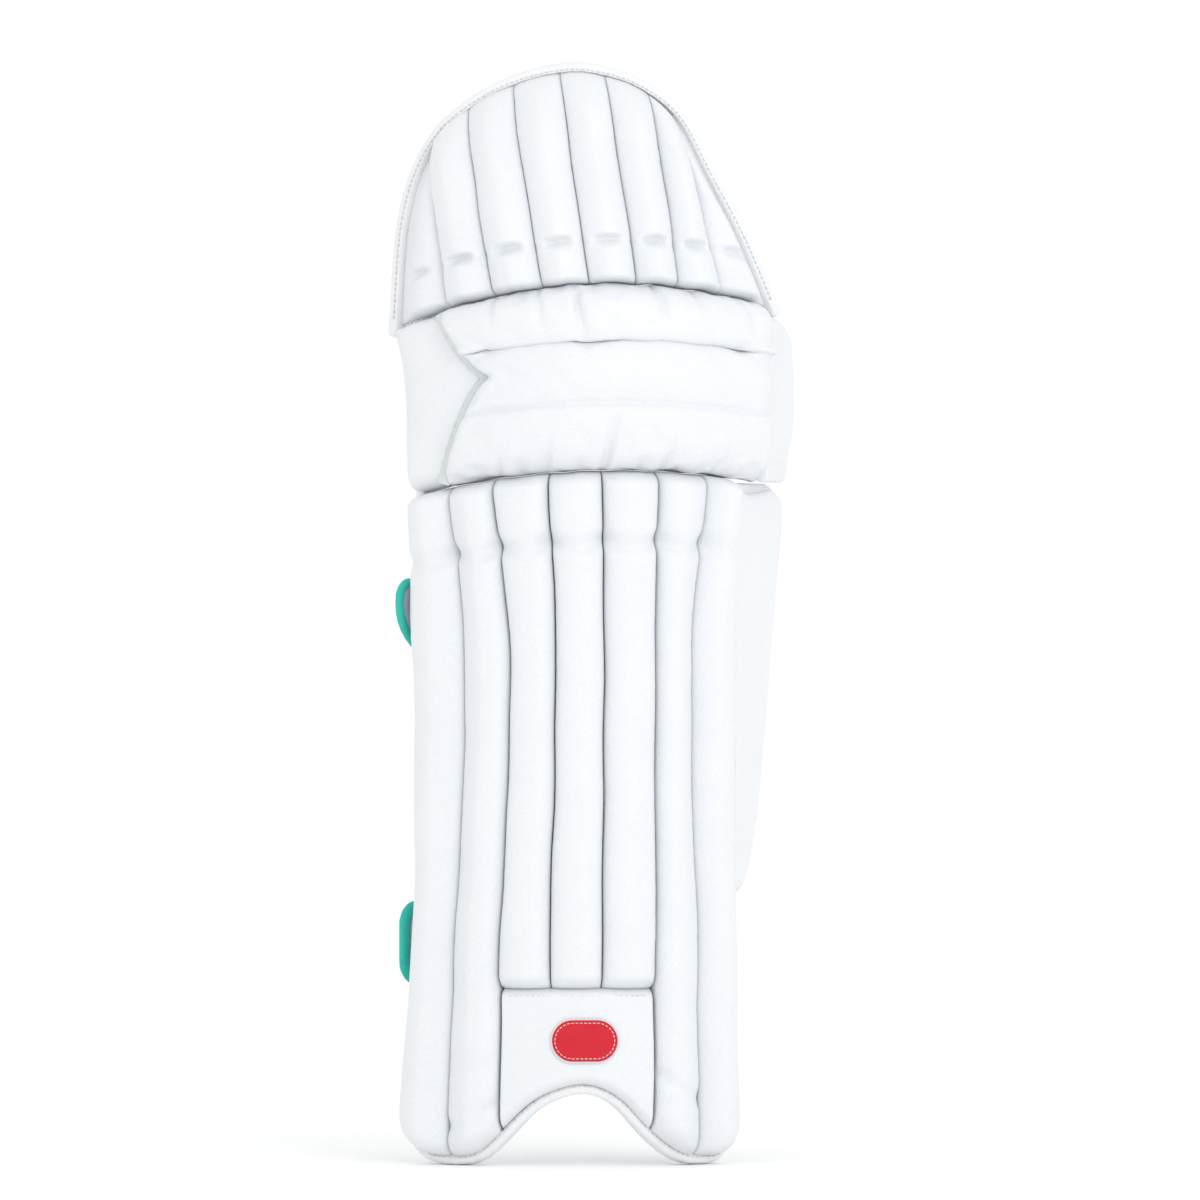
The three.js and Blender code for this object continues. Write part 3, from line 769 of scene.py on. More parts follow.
for k in range(8):
    first, last = k == 0, k == 7

    def hat_place(across, along, k=k, first=first, last=last):
        foot_left = HAT_FOOT[0] if first else HAT_SEAMS[k - 1][0]
        foot_x = lerp(foot_left, HAT_FOOT[1] if last else HAT_SEAMS[k][0], across)
        if first or last:
            top = wedge_top(last)
        else:
            top = hat_top(lerp(HAT_SEAMS[k - 1][1], HAT_SEAMS[k][1], across))
        z = lerp(droop(KNEE_TOP, foot_x) + 0.3, top + 0 * foot_x, along)
        opening = 0.15 + 0.85 * np.exp(-(z - z[:1]) / 40)
        left, right = hat_side(False, z), hat_side(True, z)
        if not first:
            left = hat_seam_x(HAT_SEAMS[k - 1], z) + HAT_GAPS[k - 1] * opening
        if not last:
            right = hat_seam_x(HAT_SEAMS[k], z) - HAT_GAPS[k] * opening
        return lerp(left, np.maximum(right, left + 0.8), across), z

    crease = {
        "z": lambda x: droop(KNEE_TOP, x) + 27,
        "deep": 0.42,
        "width": 4,
        "upper": 1.4,
        "bow": 1.5,
        "shape": lambda side: bell(side, 0.55, 4) + 0.3 * side**4,
    }
    depth = 17 if first or last else 21
    outer = ("left", 27) if first else ("right", 17) if last else None
    name = f"top_hat_bolster_{k + 1}"
    ends, sides = ((5.5, 2), (34, 1.9)), ("firm", "firm")
    piece = bolster(name, hat_place, 120, depth, ends, crease, 300 + 10 * k, sides, outer, coarse=1.5)
    solid = f"top_hat_bolster_cover_{k + 1}"
    settle(piece, across=ACROSS_JOINT["hat_foot"], replaces=[solid])

# ------------------------------------------------------------------ knee


def between_knee_seams(x, share, gap, side):
    """Places at a share of the knee's height, where x and z depend on each other."""
    for _ in range(8):
        z = lerp(droop(KNEE_BOTTOM, x) + gap, droop(KNEE_TOP, x) - gap, share)
        x = side(z)
    return x, z


# The knee's upright profile: (share of the height, depth) from its lower seam to its upper one.
KNEE_PROFILE = (
    (0.008, 0.3), (0.001, 5), (0, 9.5), (0.02, 15), (0.085, 22), (0.17, 25.4), (0.27, 25.8), (0.335, 24),
    (0.36, 21.4), (0.385, 23.4), (0.47, 25.6), (0.58, 25.2), (0.65, 23.4), (0.69, 20.6), (0.712, 16.4),
    (0.716, 14.6), (0.708, 16.2), (0.702, 20.2), (0.722, 23.8), (0.77, 26.4), (0.84, 27.4),
    (0.9, 26.8), (0.95, 22.4), (0.985, 15), (1, 8.5), (0.999, 4.5), (0.992, 0.3),
)
KNEE_FOLDS = (  # small folds that run off the two seams: x, at the upper seam, reach, depth
    (7, False, 19, 5), (-29, False, 13, 3.6), (-58, False, 10, 2.4), (44, False, 12, 3),
    (76, False, 12, 3), (-62, True, 12, 3), (-34, True, 15, 4.2), (-11, True, 19, 5),
    (38, True, 16, 4.4), (62, True, 11, 2.8), (90, True, 15, 4),
)
DEEP_CREASE, FAINT_CREASE = 0.712, 0.36  # where the two creases lie, as shares of the height
knee_height = KNEE_TOP["z"] - KNEE_BOTTOM["z"]
profile = spline([(share * knee_height, depth) for share, depth in KNEE_PROFILE], 104)
share, lift = (profile[:, 0] / knee_height)[:, None], profile[:, 1][:, None]
across = graded(215, fine=1.0, coarse=2.6)[None, :]
x, z = between_knee_seams(
    0 * across, share, 0.1, lambda z: lerp(arrow_seam(z) + ARROW_GAP, KNEE_RIGHT, across)
)
from_left, from_right = x - arrow_seam(z), KNEE_RIGHT - x
bottom, top = np.maximum(z - z[:1], 0), np.maximum(z[-1:] - z, 0)
swell = rise(from_left, 11, 2.3) * rise(from_right, 13, 2.2)
crease_fade = np.clip((from_left - 3) / 16, 0, 1) * np.clip((from_right - 8) / 16, 0, 1)
crease_fill = 9 * bell(share - DEEP_CREASE, 0.03) + 2.2 * bell(share - FAINT_CREASE, 0.05)
lift = lift + (1 - crease_fade) * crease_fill
pucker = 0.9 * np.exp(-top / 9) * ripple(x + 0.3 * top, 17, 601)
pucker = pucker + 0.5 * np.exp(-top / 6) * ripple(x, 7, 602)
pucker = pucker + 0.8 * np.exp(-bottom / 8) * ripple(x - 0.2 * bottom, 15, 603)
pucker = pucker + 0.4 * np.exp(-bottom / 6) * ripple(x, 7, 604)
pucker = pucker + 0.25 * ripple(x, 46, 605) + 0.2 * ripple(x + z, 29, 606)
for fold_x, at_top, reach, deep in KNEE_FOLDS:
    from_seam = top if at_top else bottom
    fold = bell(x - fold_x - 0.16 * from_seam, 1.3 + 0.05 * from_seam)
    pucker = pucker - 2 * deep * fold * bell(from_seam, reach)
thick = np.maximum(lift * swell + pucker * np.minimum(lift / 12, 1) * swell, LEAST)
# The groove field marks painted shade where the cover runs thin at its seams and creases.
groove = bell(thick, 3.4)
knee_cover = slab("knee_rolls", on_pad(x, z, thick), on_pad(x, z, BACKING), FACING, groove)
sewn = np.zeros((2,) + thick.shape)
sewn[1] = 1
sewn[0][[0, 1, -2, -1]] = 1
sewn[0][:, [0, 1, -2, -1]] = 1
puff(knee_cover, sewn.ravel(), pressure=1.2, slack=0.02, cap=1.6)
refine(knee_cover)
roll_nodes = [f"knee_roll_cover_{part}" for part in ("upper", "middle", "lower")]
settle(knee_cover, body="knee", replaces=roll_nodes)


def cushion(name, at, surface, thickness, size, look, edge=7, power=2.4, quilt=(), seed=0, form=None):
    """A padded panel: at(u, v) gives a place, surface(a, b, n) a point; both faces swell inwards."""
    u = graded(size[0])[None, :]
    v = graded(size[1])[:, None]
    a, b = at(u, v)
    near_u = np.minimum(u, 1 - u) * size[0]
    near_v = np.minimum(v, 1 - v) * size[1]
    left, right, low, high = edge if isinstance(edge, tuple) else (edge,) * 4
    swell = rise(u * size[0], left, power) * rise((1 - u) * size[0], right, power)
    swell = swell * rise(v * size[1], low, power) * rise((1 - v) * size[1], high, power)
    if form:
        swell = swell * form(u, v)
    # The groove field sets painted shade: along each quilted line and along the panel's edges.
    groove = np.zeros(swell.shape)
    for line in quilt:
        dip = bell((u - line) * size[0], 2.2) * np.clip(near_v / 12, 0, 1)
        swell = swell * (1 - 0.55 * dip)
        groove = groove + dip * 0.7
    near = np.minimum(near_u, near_v)
    puckers = 0.12 * ripple(b + 7 * u, 11, seed) * np.exp(-near / 6) + 0.1 * ripple(a, 23, seed + 1)
    back, front = thickness
    n_front = np.maximum(front * swell + puckers * swell, LEAST / 2)
    n_back = np.minimum(back * swell - puckers * swell, -LEAST / 2)
    place = metres(a + 0 * b, b + 0 * a, 0)
    # Painted shade along the panel's sewn edges.
    groove = groove + 0.3 * np.exp(-near / 0.8)
    piece = slab(name, surface(a, b, n_front), surface(a, b, n_back), look, groove, place)
    refine(piece)
    return piece


def arrow_place(u, v):
    def side(z):
        return lerp(edge_x(knee_left(z), z, PANEL_EDGE_LEVEL), arrow_seam(z) - ARROW_GAP, u)

    return between_knee_seams(-100 + 0 * u, v, 0.2, side)


def on_panel_base(x, z, n):
    return on_pad(x, z, np.where(n > 0, n, BACKING))


def panel_form(u, v):
    """The side panel sinks gently towards its arrow-shaped seam."""
    return 1 - 0.24 * np.clip(u - 0.35, 0, 1) ** 1.5 / 0.65**1.5 + 0 * v


panel = cushion(
    "knee_side_panel", arrow_place, on_panel_base, (BACKING, PANEL_DEPTH), (40, 98), FACING,
    edge=(12, 1.4, 11, 11), power=2.2, seed=650, form=panel_form,
)
settle(panel, body="knee", replaces=["left_knee_panel"])

# ------------------------------------------------------------------ instep, badge and tapes


def instep_place(u, v):
    x = lerp(shin_seams[2](80), shin_seams[5](80), u)
    z = lerp(hem_top(x), INSTEP_TOP + 1.5, v)
    return lerp(shin_seams[2](z) + 0.1, shin_seams[5](z) - 0.1, u), z


instep = cushion(
    "instep_panel_pad", instep_place, on_panel_base, (BACKING, INSTEP_DEPTH), (98, 70), FACING,
    edge=(2, 2, 8, 6), power=2, seed=660,
)
settle(instep, body="shin", replaces=["instep_panel"])


def sweep(name, line, surface, section, look, closed=False, wobble=0.0, seed=0, taper=0):
    """A section of (across, normal) points carried along a line of places on a surface."""
    left = left_of(line)
    if closed:
        left = left_of(np.vstack([line[-1:], line, line[:1]]))[1:-1]
    run = run_along(line)
    section = np.asarray(section, float)
    across, normal = section[None, :, 0], section[None, :, 1]
    grow = 1 + wobble * ripple(run, 6.5, seed)[:, None]
    if taper:
        grow = grow * (0.25 + 0.75 * rise(np.minimum(run, run[-1] - run), taper, 2))[:, None]
    a = line[:, :1] + left[:, :1] * across * grow
    b = line[:, 1:] + left[:, 1:] * across * grow
    place = metres(run[:, None], across, 0)
    return tube(name, surface(a, b, normal * grow), look, place, closed)


def folded_tape(width, front, back, thick):
    """Section of a tape folded over an edge; its outside is at +width/2."""
    half = width / 2
    return (
        (-half, front), (-half * 0.2, front + thick * 0.6), (half * 0.55, front + thick * 0.25),
        (half * 0.92, front - 1.4), (half, lerp(front, back, 0.3)), (half, lerp(front, back, 0.7)),
        (half * 0.92, back + 1.4), (half * 0.55, back - thick * 0.25), (-half * 0.2, back - thick * 0.6),
        (-half, back), (-half - 0.2, back + thick), (-half - 0.2, front - thick),
    )


TAPE_SECTION = folded_tape(TAPE["width"], TAPE["front"], TAPE["back"], TAPE["thick"])
TAPE_THREAD = TAPE["front"] + 0.5  # height of the thread that holds the tape


def tape_along(name, outside, taper):
    """The taped edge along an outer line of places."""
    section = [(-a, n) for a, n in TAPE_SECTION][::-1]
    return sweep(name, outside, on_pad, section, TAPE_LOOK, wobble=0.03, seed=700, taper=taper)


def round_section(wide, high, lift, count):
    turn = np.linspace(0, 2 * np.pi, count, endpoint=False)
    return [(wide * math.cos(a), lift + high * math.sin(a)) for a in turn]


def stitches(name, line, surface, lift, pitch=3.4, length=2.5, thick=0.42):
    """A row of sewn stitches along a line of places, each one a short raised thread."""
    run = run_along(line)
    count = int(run[-1] / pitch)
    pitch = run[-1] / count
    rings = np.array([(-0.5, 0.25), (-0.36, 0.9), (0, 1), (0.36, 0.9), (0.5, 0.25)])
    turn = np.linspace(0, 2 * np.pi, 6, endpoint=False)
    points, faces = [], []
    ring = np.arange(6)
    band = np.stack([ring, (ring + 1) % 6, (ring + 1) % 6 + 6, ring + 6], -1)
    caps = np.array([(0, 5, 4, 1), (1, 4, 3, 2), (24, 25, 28, 29), (25, 26, 27, 28)])
    quads = np.concatenate([band + 6 * i for i in range(4)] + [caps])
    left = left_of(line)
    for k in range(count):
        at = (k + 0.5) * pitch + rings[:, :1] * length
        spot = np.stack([np.interp(at, run, line[:, i]) for i in (0, 1)])
        side = np.stack([np.interp(at, run, left[:, i]) for i in (0, 1)])
        wide = rings[:, 1:] * thick * np.cos(turn)
        high = lift + rings[:, 1:] * thick * np.sin(turn) - 0.6 * thick * (np.abs(rings[:, :1]) > 0.4)
        points.append(surface(spot[0] + side[0] * wide, spot[1] + side[1] * wide, high).reshape(-1, 3))
        faces.append(quads + 30 * k)
    points = np.concatenate(points)
    piece = new_object(name, points, np.concatenate(faces), THREAD, {"place": points[:, [0, 2, 1]]})
    face_outwards(piece)
    return piece


def sew(name, line, surface, lift, body=None, across=None, **size):
    """A row of stitches that belongs to the binding."""
    thread = stitches(name, line, surface, lift, **size)
    settle(thread, body=body, across=across)


x = np.linspace(shin_seams[2](INSTEP_TOP) + 6, shin_seams[5](INSTEP_TOP) - 6, 60)
instep_line = np.stack([x, INSTEP_TOP - 4 + 0 * x], -1)
sew("instep_thread", instep_line, on_pad, INSTEP_DEPTH - 0.3, body="shin", thick=0.36)

foot, head = droop(KNEE_BOTTOM, KNEE_POINT["foot"]), droop(KNEE_TOP, KNEE_POINT["head"])
z = np.linspace(foot + 1.5, head - 1.5, 200)
arrow_line = evenly(np.stack([arrow_seam(z), z], -1), 140)
cord = round_section(4.2, 2.6, 11.4, 12)
# The cord's grey is painted shade for the shaded wall at the rolls' left end.
arrow_piping = sweep("knee_arrow_piping", arrow_line, on_pad, cord, ARROW_SHADE_LOOK, wobble=0.02, seed=640)
settle(arrow_piping, body="knee")

dome_middle = evenly(offset_line(dome_line, TAPE["width"] / 2), 260)[::-1]
dome_tape = tape_along("top_hat_tape", dome_middle, taper=3)
settle(dome_tape, across=ACROSS_JOINT["hat_foot"], replaces=["top_hat_binding"])
dome_sewn = evenly(offset_line(dome_line, TAPE["width"] - 1.2)[6:-6], 260)
sew("top_hat_tape_thread", dome_sewn, on_pad, TAPE_THREAD, across=ACROSS_JOINT["hat_foot"])

side_heights = np.arange(418, 40, -4.0)
left_side = np.stack([shin_seams[0](side_heights) - 0.6, side_heights], -1)
right_side = np.stack([shin_seams[7](side_heights) + 0.6, side_heights], -1)
rim_line = relaxed(evenly(np.vstack([left_side, hem_line, right_side[::-1]]), 760), 20)
hem_tape = tape_along("hem_tape", rim_line, taper=4)
hem_sewn = evenly(offset_line(hem_line, -1.8)[14:-14], 230)
sew("hem_tape_thread", hem_sewn, on_pad, TAPE_THREAD, body="shin")
hem_nodes = [f"hem_binding_{part}" for part in ("left", "arch", "right")]
settle(hem_tape, across=ACROSS_JOINT["shin_top"], replaces=hem_nodes)

z = np.linspace(517, 419, 60)
knee_edge_line = evenly(np.stack([edge_x(knee_left(z), z, PANEL_EDGE_LEVEL) - 0.6, z], -1), 60)
knee_edge = tape_along("knee_edge_tape", knee_edge_line, taper=3)
settle(knee_edge, body="knee")

# ------------------------------------------------------------------ linings


def mirrored(at):
    """The same places laid out from right to left, for a panel that faces the leg."""
    return lambda u, v: at(1 - u, v)


def lining_sheet(name, at, size, quilt, seed):
    def behind(x, z, n):
        return on_pad(x, z, np.where(n > 0, -0.35, n))

    depths = (LINING_BACK, 0.1)
    return cushion(name, at, behind, depths, size, LINING_LOOK, edge=5, quilt=quilt, seed=seed)


def shin_lining_place(u, v):
    low = lerp(shin_seams[0](SHIN_FOOT) + 4, shin_seams[7](SHIN_FOOT) - 4, u)
    z = lerp(hem_top(low) - 2.5, droop(KNEE_BOTTOM, low) - 0.4, v)
    return lerp(shin_seams[0](z) + 3.5, shin_seams[7](z) - 3, u), z


def knee_lining_place(u, v):
    def side(z):
        return lerp(edge_x(knee_left(z), z, PANEL_EDGE_LEVEL) + 2, KNEE_RIGHT - 1, u)

    return between_knee_seams(-100 + 0 * (u + v), v, 0.4, side)


def hat_lining_place(u, v):
    x = lerp(hat_inside[0, 0] + 0.5, hat_inside[-1, 0] - 1, u)
    foot = droop(KNEE_TOP, x) + 0.4
    return x + 0 * v, lerp(foot, np.maximum(hat_top(x) + 1.5, foot + 2), v)


quilt_lines = [0.2, 0.36, 0.52, 0.68, 0.84]
shin_lining = lining_sheet("shin_lining_pad", shin_lining_place, (205, 410), quilt_lines, 800)
settle(shin_lining, across=ACROSS_JOINT["shin_lining"], replaces=["shin_lining"])
knee_lining = lining_sheet("knee_lining_pad", knee_lining_place, (235, 112), [], 810)
settle(knee_lining, body="knee", replaces=["knee_lining"])
hat_lining = lining_sheet("top_hat_lining_pad", hat_lining_place, (225, 130), quilt_lines, 820)
settle(hat_lining, across=ACROSS_JOINT["hat_foot"], replaces=["top_hat_lining"])


def soft_roll(name, at, size, depth, node_name, body, seed):
    """A round bolster sewn on the lining, towards the leg."""

    def inwards(x, z, n):
        return on_pad(x, z, LINING_BACK + 1.2 - np.where(n > 0, n, 0))

    depths = (-0.2, depth)
    piece = cushion(
        name, mirrored(at), inwards, depths, size, LINING_LOOK, edge=13, power=2.1, seed=seed
    )
    settle(piece, body=body, replaces=[node_name])


def rectangle(left, right, low, high):
    return lambda u, v: (lerp(left, right, u) + 0 * v, lerp(low, high, v) + 0 * u)


for side, middle in (("left", -52), ("right", 30)):
    upright = rectangle(middle - 14, middle + 14, 80, 395)
    soft_roll(f"shin_guide_roll_{side}", upright, (28, 315), 16, f"inner_bolster_{side}", "shin", 830)
for part, middle in (("upper", 512), ("lower", 452)):
    level = rectangle(-78, 62, middle - 15, middle + 15)
    soft_roll(f"kneecap_roll_{part}", level, (140, 30), 14, f"knee_cup_roll_{part}", "knee", 840)

# ------------------------------------------------------------------ wings and side panel


def leaning(wing):
    """The surface of a wing: distance behind its hinge line, height, and outward distance."""
    lean = math.radians(wing["lean"])
    ahead, out = (math.cos(lean), math.sin(lean)), (math.sin(lean), -math.cos(lean))

    def surface(behind, z, n):
        n = n + wing["thick"] / 2 + WING_PROUD
        x = wing["x"] + ahead[0] * behind + out[0] * n
        y = wing["y"] + ahead[1] * behind + out[1] * n
        return metres(x, y, z)

    return surface, ahead


def edge_tape(name, line, surface, half, seed, wobble):
    """A narrow tape folded over the edge of a flap."""
    section = [(-a * 0.8, n) for a, n in folded_tape(5, half, -half, 0.7)]
    return sweep(name, line, surface, section, TAPE_LOOK, wobble=wobble, seed=seed)


WING_BEND = (1, 13)  # a wing's cloth bends between these distances behind its hinge line


def add_wing(name, wing, widths, bodies, seed):
    surface, ahead = leaning(wing)
    width, crown = smooth(widths), smooth(wing["crown"])
    low, high = widths[0][0], widths[-1][0]
    widest = max(w for _, w in widths)

    def place(u, v):
        z = lerp(low, high, v)
        behind = lerp(wing["front"], width(z), u)
        return behind, z + crown(behind) * v

    half = wing["thick"] / 2
    start, end = (np.array([wing["x"], wing["y"]]) + np.array(ahead) * run for run in WING_BEND)
    across = (*bodies, (*start * MM, 0.3), (*end * MM, 0.3))
    size = (widest - wing["front"], high - low)
    edges = (2, 8, 8, 8)
    pad = cushion(f"{name}_pad", place, surface, (-half, half), size, FACING, edge=edges, seed=seed)
    settle(pad, across=across, replaces=[name])
    z = np.linspace(low, high, 160)
    top = np.linspace(widths[-1][1], wing["front"] + 2, 60)
    outer_edge, top_edge = np.stack([width(z), z], -1), np.stack([top, high + crown(top)], -1)
    line = evenly(np.vstack([outer_edge[:-1], top_edge]), 180)
    settle(edge_tape(f"{name}_tape", line, surface, 1.9, seed + 1, 0.03), across=across)
    sewn_line = evenly(offset_line(line, -0.9)[4:-4], 200)
    sew(f"{name}_tape_thread", sewn_line, surface, 2.3, across=across)


add_wing("right_wing", WING, WING_WIDTH, ("shin", "right_wing"), 860)
add_wing("knee_wing", KNEE_WING, KNEE_WING_WIDTH, ("knee", "knee_wing"), 870)

# The soft fold that closes the gap between the two wings.
gusset_edge = smooth([(0, 431.5), (18, 436), (35, 443), (44, 453)])


def gusset_place(u, v):
    behind = lerp(-12, lerp(30, 43, v), u)
    return behind, lerp(420.8, gusset_edge(behind) + 3, v)


gusset = cushion(
    "wing_gusset", gusset_place, leaning(KNEE_WING)[0], (-3.8, 3.8), (56, 24), FACING,
    edge=(2, 5, 5, 5), seed=890,
)
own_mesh(gusset)
settle(gusset, body="knee_wing")

# A thin fold of cloth stands on the right wing's taped top, up to the gusset.
wing_crown = smooth(WING["crown"])


def wing_fold_place(u, v):
    behind = lerp(3, 50, u)
    return behind, lerp(WING_WIDTH[-1][0] + wing_crown(behind) - 2.5, 420.5, v)


wing_fold = cushion(
    "wing_fold", wing_fold_place, leaning(WING)[0], (-1.7, 1.7), (47, 7), FACING,
    edge=(3, 4, 1, 1.6), seed=895,
)
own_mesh(wing_fold)
settle(wing_fold, body="right_wing")


def on_side(behind, z, n):
    return metres(SIDE_PANEL["x"] - n, SIDE_PANEL["y"] + behind, z)


def side_place(u, v):
    """Across the flap from its front edge to its rounded back edge, and up it."""
    z = lerp(SIDE_PANEL["bottom"], SIDE_PANEL["top"], v)
    corner = rise(z - SIDE_PANEL["bottom"], 26, 2) * rise(SIDE_PANEL["top"] - z, 26, 2)
    return lerp(SIDE_PANEL["front"], SIDE_PANEL["depth"] * (0.35 + 0.65 * corner), u), z + 0 * u


half = SIDE_PANEL["thick"] / 2
side_size = (SIDE_PANEL["depth"] - SIDE_PANEL["front"], SIDE_PANEL["top"] - SIDE_PANEL["bottom"])
side_flap = cushion(
    "left_side_flap", mirrored(side_place), on_side, (-half, half), side_size, LINING_LOOK,
    edge=5, seed=880,
)
settle(side_flap, body="shin", replaces=["left_side_panel"])
z = np.linspace(SIDE_PANEL["bottom"], SIDE_PANEL["top"], 180)
edge_line = evenly(np.stack([side_place(1, (z - z[0]) / (z[-1] - z[0]))[0], z], -1), 200)
side_tape = edge_tape("left_side_tape", edge_line, on_side, 1.6, 881, 0.0)
settle(side_tape, body="shin")
side_sewn = evenly(offset_line(edge_line, -0.9)[4:-4], 180)
sew("left_side_tape_thread", side_sewn, on_side, 2.0, body="shin")

# ------------------------------------------------------------------ straps


def strap_surface(line, strap):
    """A surface along a line seen from above: run, height from its middle, outward distance."""
    path = spline(line, 400)
    run = run_along(path)
    ahead = np.gradient(path, run, axis=0)
    ahead /= np.linalg.norm(ahead, axis=1)[:, None]

    def surface(s, h, n):
        s, h, n = np.broadcast_arrays(s, h, n)
        x, y = (np.interp(s, run, path[:, i]) for i in (0, 1))
        ax, ay = (np.interp(s, run, ahead[:, i]) for i in (0, 1))
        return metres(x + ay * n, y - ax * n, strap["centre"] + h)

    return surface, run[-1]


def add_hook_patch(label, surface, tip, half, slant):
    """The hook tape sewn on the inner side of a tongue, which grips the loop patch."""
    near, far = 9 + slant / 2, 54  # from the tip
    half = half - 6

    def place(u, v):
        return tip - lerp(far, near, u) + 0 * v, lerp(-half, half, v) + 0 * u

    def inside(s, h, n):
        return surface(s, h, n - STRAP_THICK / 2 - 0.2)

    size = (far - near, 2 * half)
    patch = cushion(f"{label}_hook_patch", place, inside, (-0.5, 0.3), size, HOOK_LOOK, edge=2)
    settle(patch, body=f"{label}_strap_tongue")


# In metres and seen from above: where a web swings, where a tongue peels off, and half their bends.
SWING_Y = 0.046
PEEL_X, PEEL_Y = -0.1046, 0.047
BEND = 0.004


def add_strap(label, strap):
    half = strap["width"] / 2
    whole = strap["right"] + STRAP_BACK + STRAP_TONGUE + (strap["tip"],)
    inset = strap["edging"] / 2 - 0.6
    tuck = 0.6 * inset + 0.4  # the cloth ends inside its folded edging
    surface, length = strap_surface(whole, strap)
    split, overlap = length / 2, 16
    ends = {"inner": (0.0, split + overlap), "outer": (split, length)}
    root, web, tongue = (f"{label}_strap_{part}" for part in ("root", "web", "tongue"))
    swing_x, z = MM * strap["hinge"], strap["centre"] * MM
    moves = {
        "inner": ("shin", web, (swing_x, SWING_Y - BEND, z), (swing_x, SWING_Y + BEND, z)),
        "outer": (web, tongue, (PEEL_X, PEEL_Y + BEND, z), (PEEL_X, PEEL_Y - BEND, z)),
    }
    stands_for = {"inner": [root, web], "outer": [tongue]}
    for part, (start, end) in ends.items():
        lift = 0 if part == "inner" else STRAP_THICK + 0.3
        tips = (strap["slant"], (9, 0.5)) if part == "outer" else ((3, 0.5), (3, 0.5))

        def raised(s, h, n, lift=lift, start=start):
            return surface(s, h, n + lift * np.clip(1 - (s - start) / 60, 0, 1))

        def half_at(s, tip, end=end):
            t = np.clip((s - (end - tip[0])) / tip[0], 0, 1)
            return half * lerp(tip[1], 1, np.sqrt(np.maximum(1 - t**2, 0)))

        def place(u, v, start=start, end=end, tips=tips):
            s = lerp(start, end, u)
            inside = lerp(start + tuck, end - tuck, u)
            return inside + 0 * v, lerp(tuck - half_at(s, tips[0]), half_at(s, tips[1]) - tuck, v)

        core = STRAP_THICK / 2
        size = (end - start, strap["width"])
        name = f"{label}_strap_{part}"
        pad = cushion(name, place, raised, (-core, core), size, STRAP_LOOK, edge=4, seed=900)
        settle(pad, across=moves[part], replaces=stands_for[part])
        s = np.linspace(start, end, 260)
        bound = lerp(start + inset, end - inset, np.linspace(0, 1, 260))
        low, top = (
            np.stack([bound, sign * (half_at(s, tip) - inset)], -1) for sign, tip in zip((-1, 1), tips)
        )
        line = np.vstack([low[::-1], top]) if part == "inner" else np.vstack([low, top[::-1]])
        line = evenly(line, 460)
        sign = -1 if part == "outer" else 1
        section = folded_tape(strap["edging"], core + 0.25, -core - 0.25, 0.55)
        section = [(sign * a, n) for a, n in section]
        if part == "outer":
            add_hook_patch(label, raised, end, half, strap["slant"][0])
        edging = sweep(f"{name}_edging", line, raised, section, TEAL_LOOK, wobble=0.03, seed=910)
        settle(edging, across=moves[part])


for label, strap in (("calf", CALF_STRAP), ("ankle", ANKLE_STRAP)):
    add_strap(label, strap)
    low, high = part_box(f"{label}_loop_patch")
    centre, size = (low + high) / 2 / MM, (high - low) / MM

    def on_patch(y, z, n, centre=centre):
        return metres(centre[0] - n, y, z)

    def patch_place(u, v, centre=centre, size=size):
        return centre[1] + (0.5 - u) * size[1] + 0 * v, centre[2] + (v - 0.5) * size[2] + 0 * u

    name = f"{label}_fastening_patch"
    patch = cushion(name, patch_place, on_patch, (-0.75, 0.75), size[1:], PILE_LOOK, edge=2)
    settle(patch, body="shin", replaces=[f"{label}_loop_patch"])

# ------------------------------------------------------------------ badge

BADGE = {"x": -5, "z": 77.5, "width": 42, "height": 27}


def badge_surface(a, b, n):
    return on_pad(a, b, INSTEP_DEPTH + 0.2 + n)


def badge_place(u, v):
    t = 2 * v - 1
    half_width = BADGE["width"] / 2 - BADGE["height"] / 2 * (1 - np.sqrt(np.maximum(1 - t**2, 0)))
    return BADGE["x"] + (2 * u - 1) * half_width, BADGE["z"] + t * BADGE["height"] / 2 + 0 * u


badge_size = (BADGE["width"], BADGE["height"])
badge = cushion("badge_oval", badge_place, badge_surface, (-0.6, 0.9), badge_size, BADGE_LOOK, edge=1.5)
settle(badge, body="shin", replaces=["badge_patch"])


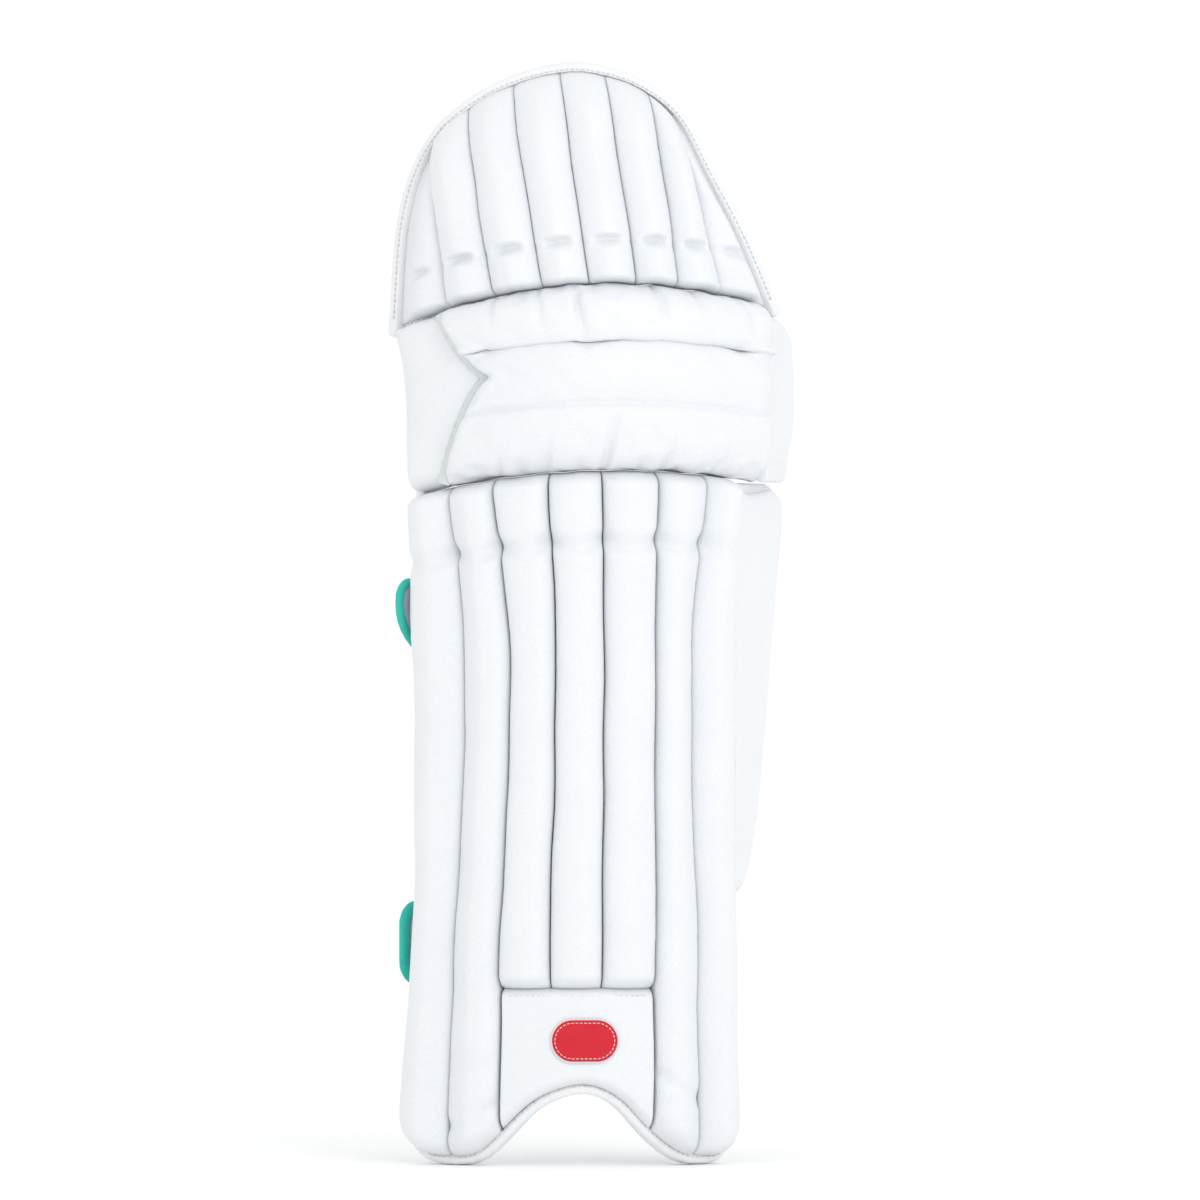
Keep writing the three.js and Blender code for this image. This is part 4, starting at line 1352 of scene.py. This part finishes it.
def badge_outline(inside):
    """The badge's edge as a closed line of places, moved in by a distance."""
    radius, straight = BADGE["height"] / 2 - inside, (BADGE["width"] - BADGE["height"]) / 2
    turn = np.linspace(-np.pi / 2, np.pi / 2, 40)
    arc = np.stack([straight + radius * np.cos(turn), radius * np.sin(turn)], -1)
    return evenly(np.vstack([arc, -arc, arc[:1]]) + (BADGE["x"], BADGE["z"]), 150)[:-1]


rim = round_section(0.75, 0.75, 0.6, 8)
badge_rim = sweep("badge_rim", badge_outline(0.2), badge_surface, rim, THREAD, closed=True)
settle(badge_rim, body="shin")
thread_line = np.vstack([badge_outline(2.6), badge_outline(2.6)[:1]])
badge_thread = stitches(
    "badge_thread", thread_line, badge_surface, 1.0, pitch=2.6, length=1.9, thick=0.3
)
settle(badge_thread, body="shin")

# ------------------------------------------------------------------ stage, light and camera

PALE = fibrous("floor_paper", (1.0, 1.0, 1.0), (0.97, 0.97, 0.97), 60, depth=0.00005)
floor_mesh = bpy.data.meshes.new("floor")
reach = 30
corners = [(-reach, -reach, 0), (reach, -reach, 0), (reach, reach, 0), (-reach, reach, 0)]
floor_mesh.from_pydata(corners, [], [(0, 1, 2, 3)])
floor_mesh.materials.append(PALE)
floor = bpy.data.objects.new("floor", floor_mesh)
bpy.context.scene.collection.objects.link(floor)

world = bpy.data.worlds.new("studio")
bpy.context.scene.world = world
world.use_nodes = True
world.node_tree.nodes["Background"].inputs["Color"].default_value = (1, 1, 1, 1)
world.node_tree.nodes["Background"].inputs["Strength"].default_value = 1.04


def area_light(name, position, target, size, power):
    light = bpy.data.lights.new(name, "AREA")
    light.size = size
    light.energy = power
    lamp = bpy.data.objects.new(name, light)
    lamp.location = position
    lamp.rotation_euler = (Vector(target) - Vector(position)).to_track_quat("-Z", "Y").to_euler()
    bpy.context.scene.collection.objects.link(lamp)


area_light("key_softbox", (1.1, -2.5, 1.15), (0, 0, 0.35), 1.2, 13)

bpy.context.scene.view_settings.view_transform = "Standard"

camera_data = bpy.data.cameras.new("camera")
camera_data.clip_end = 100
camera_data.lens = 300
camera_data.sensor_width = 36
camera = bpy.data.objects.new("camera", camera_data)
camera.location = (0.0043, -6.2, 0.348)
camera.rotation_euler = (math.pi / 2, 0, 0)
bpy.context.scene.collection.objects.link(camera)
bpy.context.scene.camera = camera
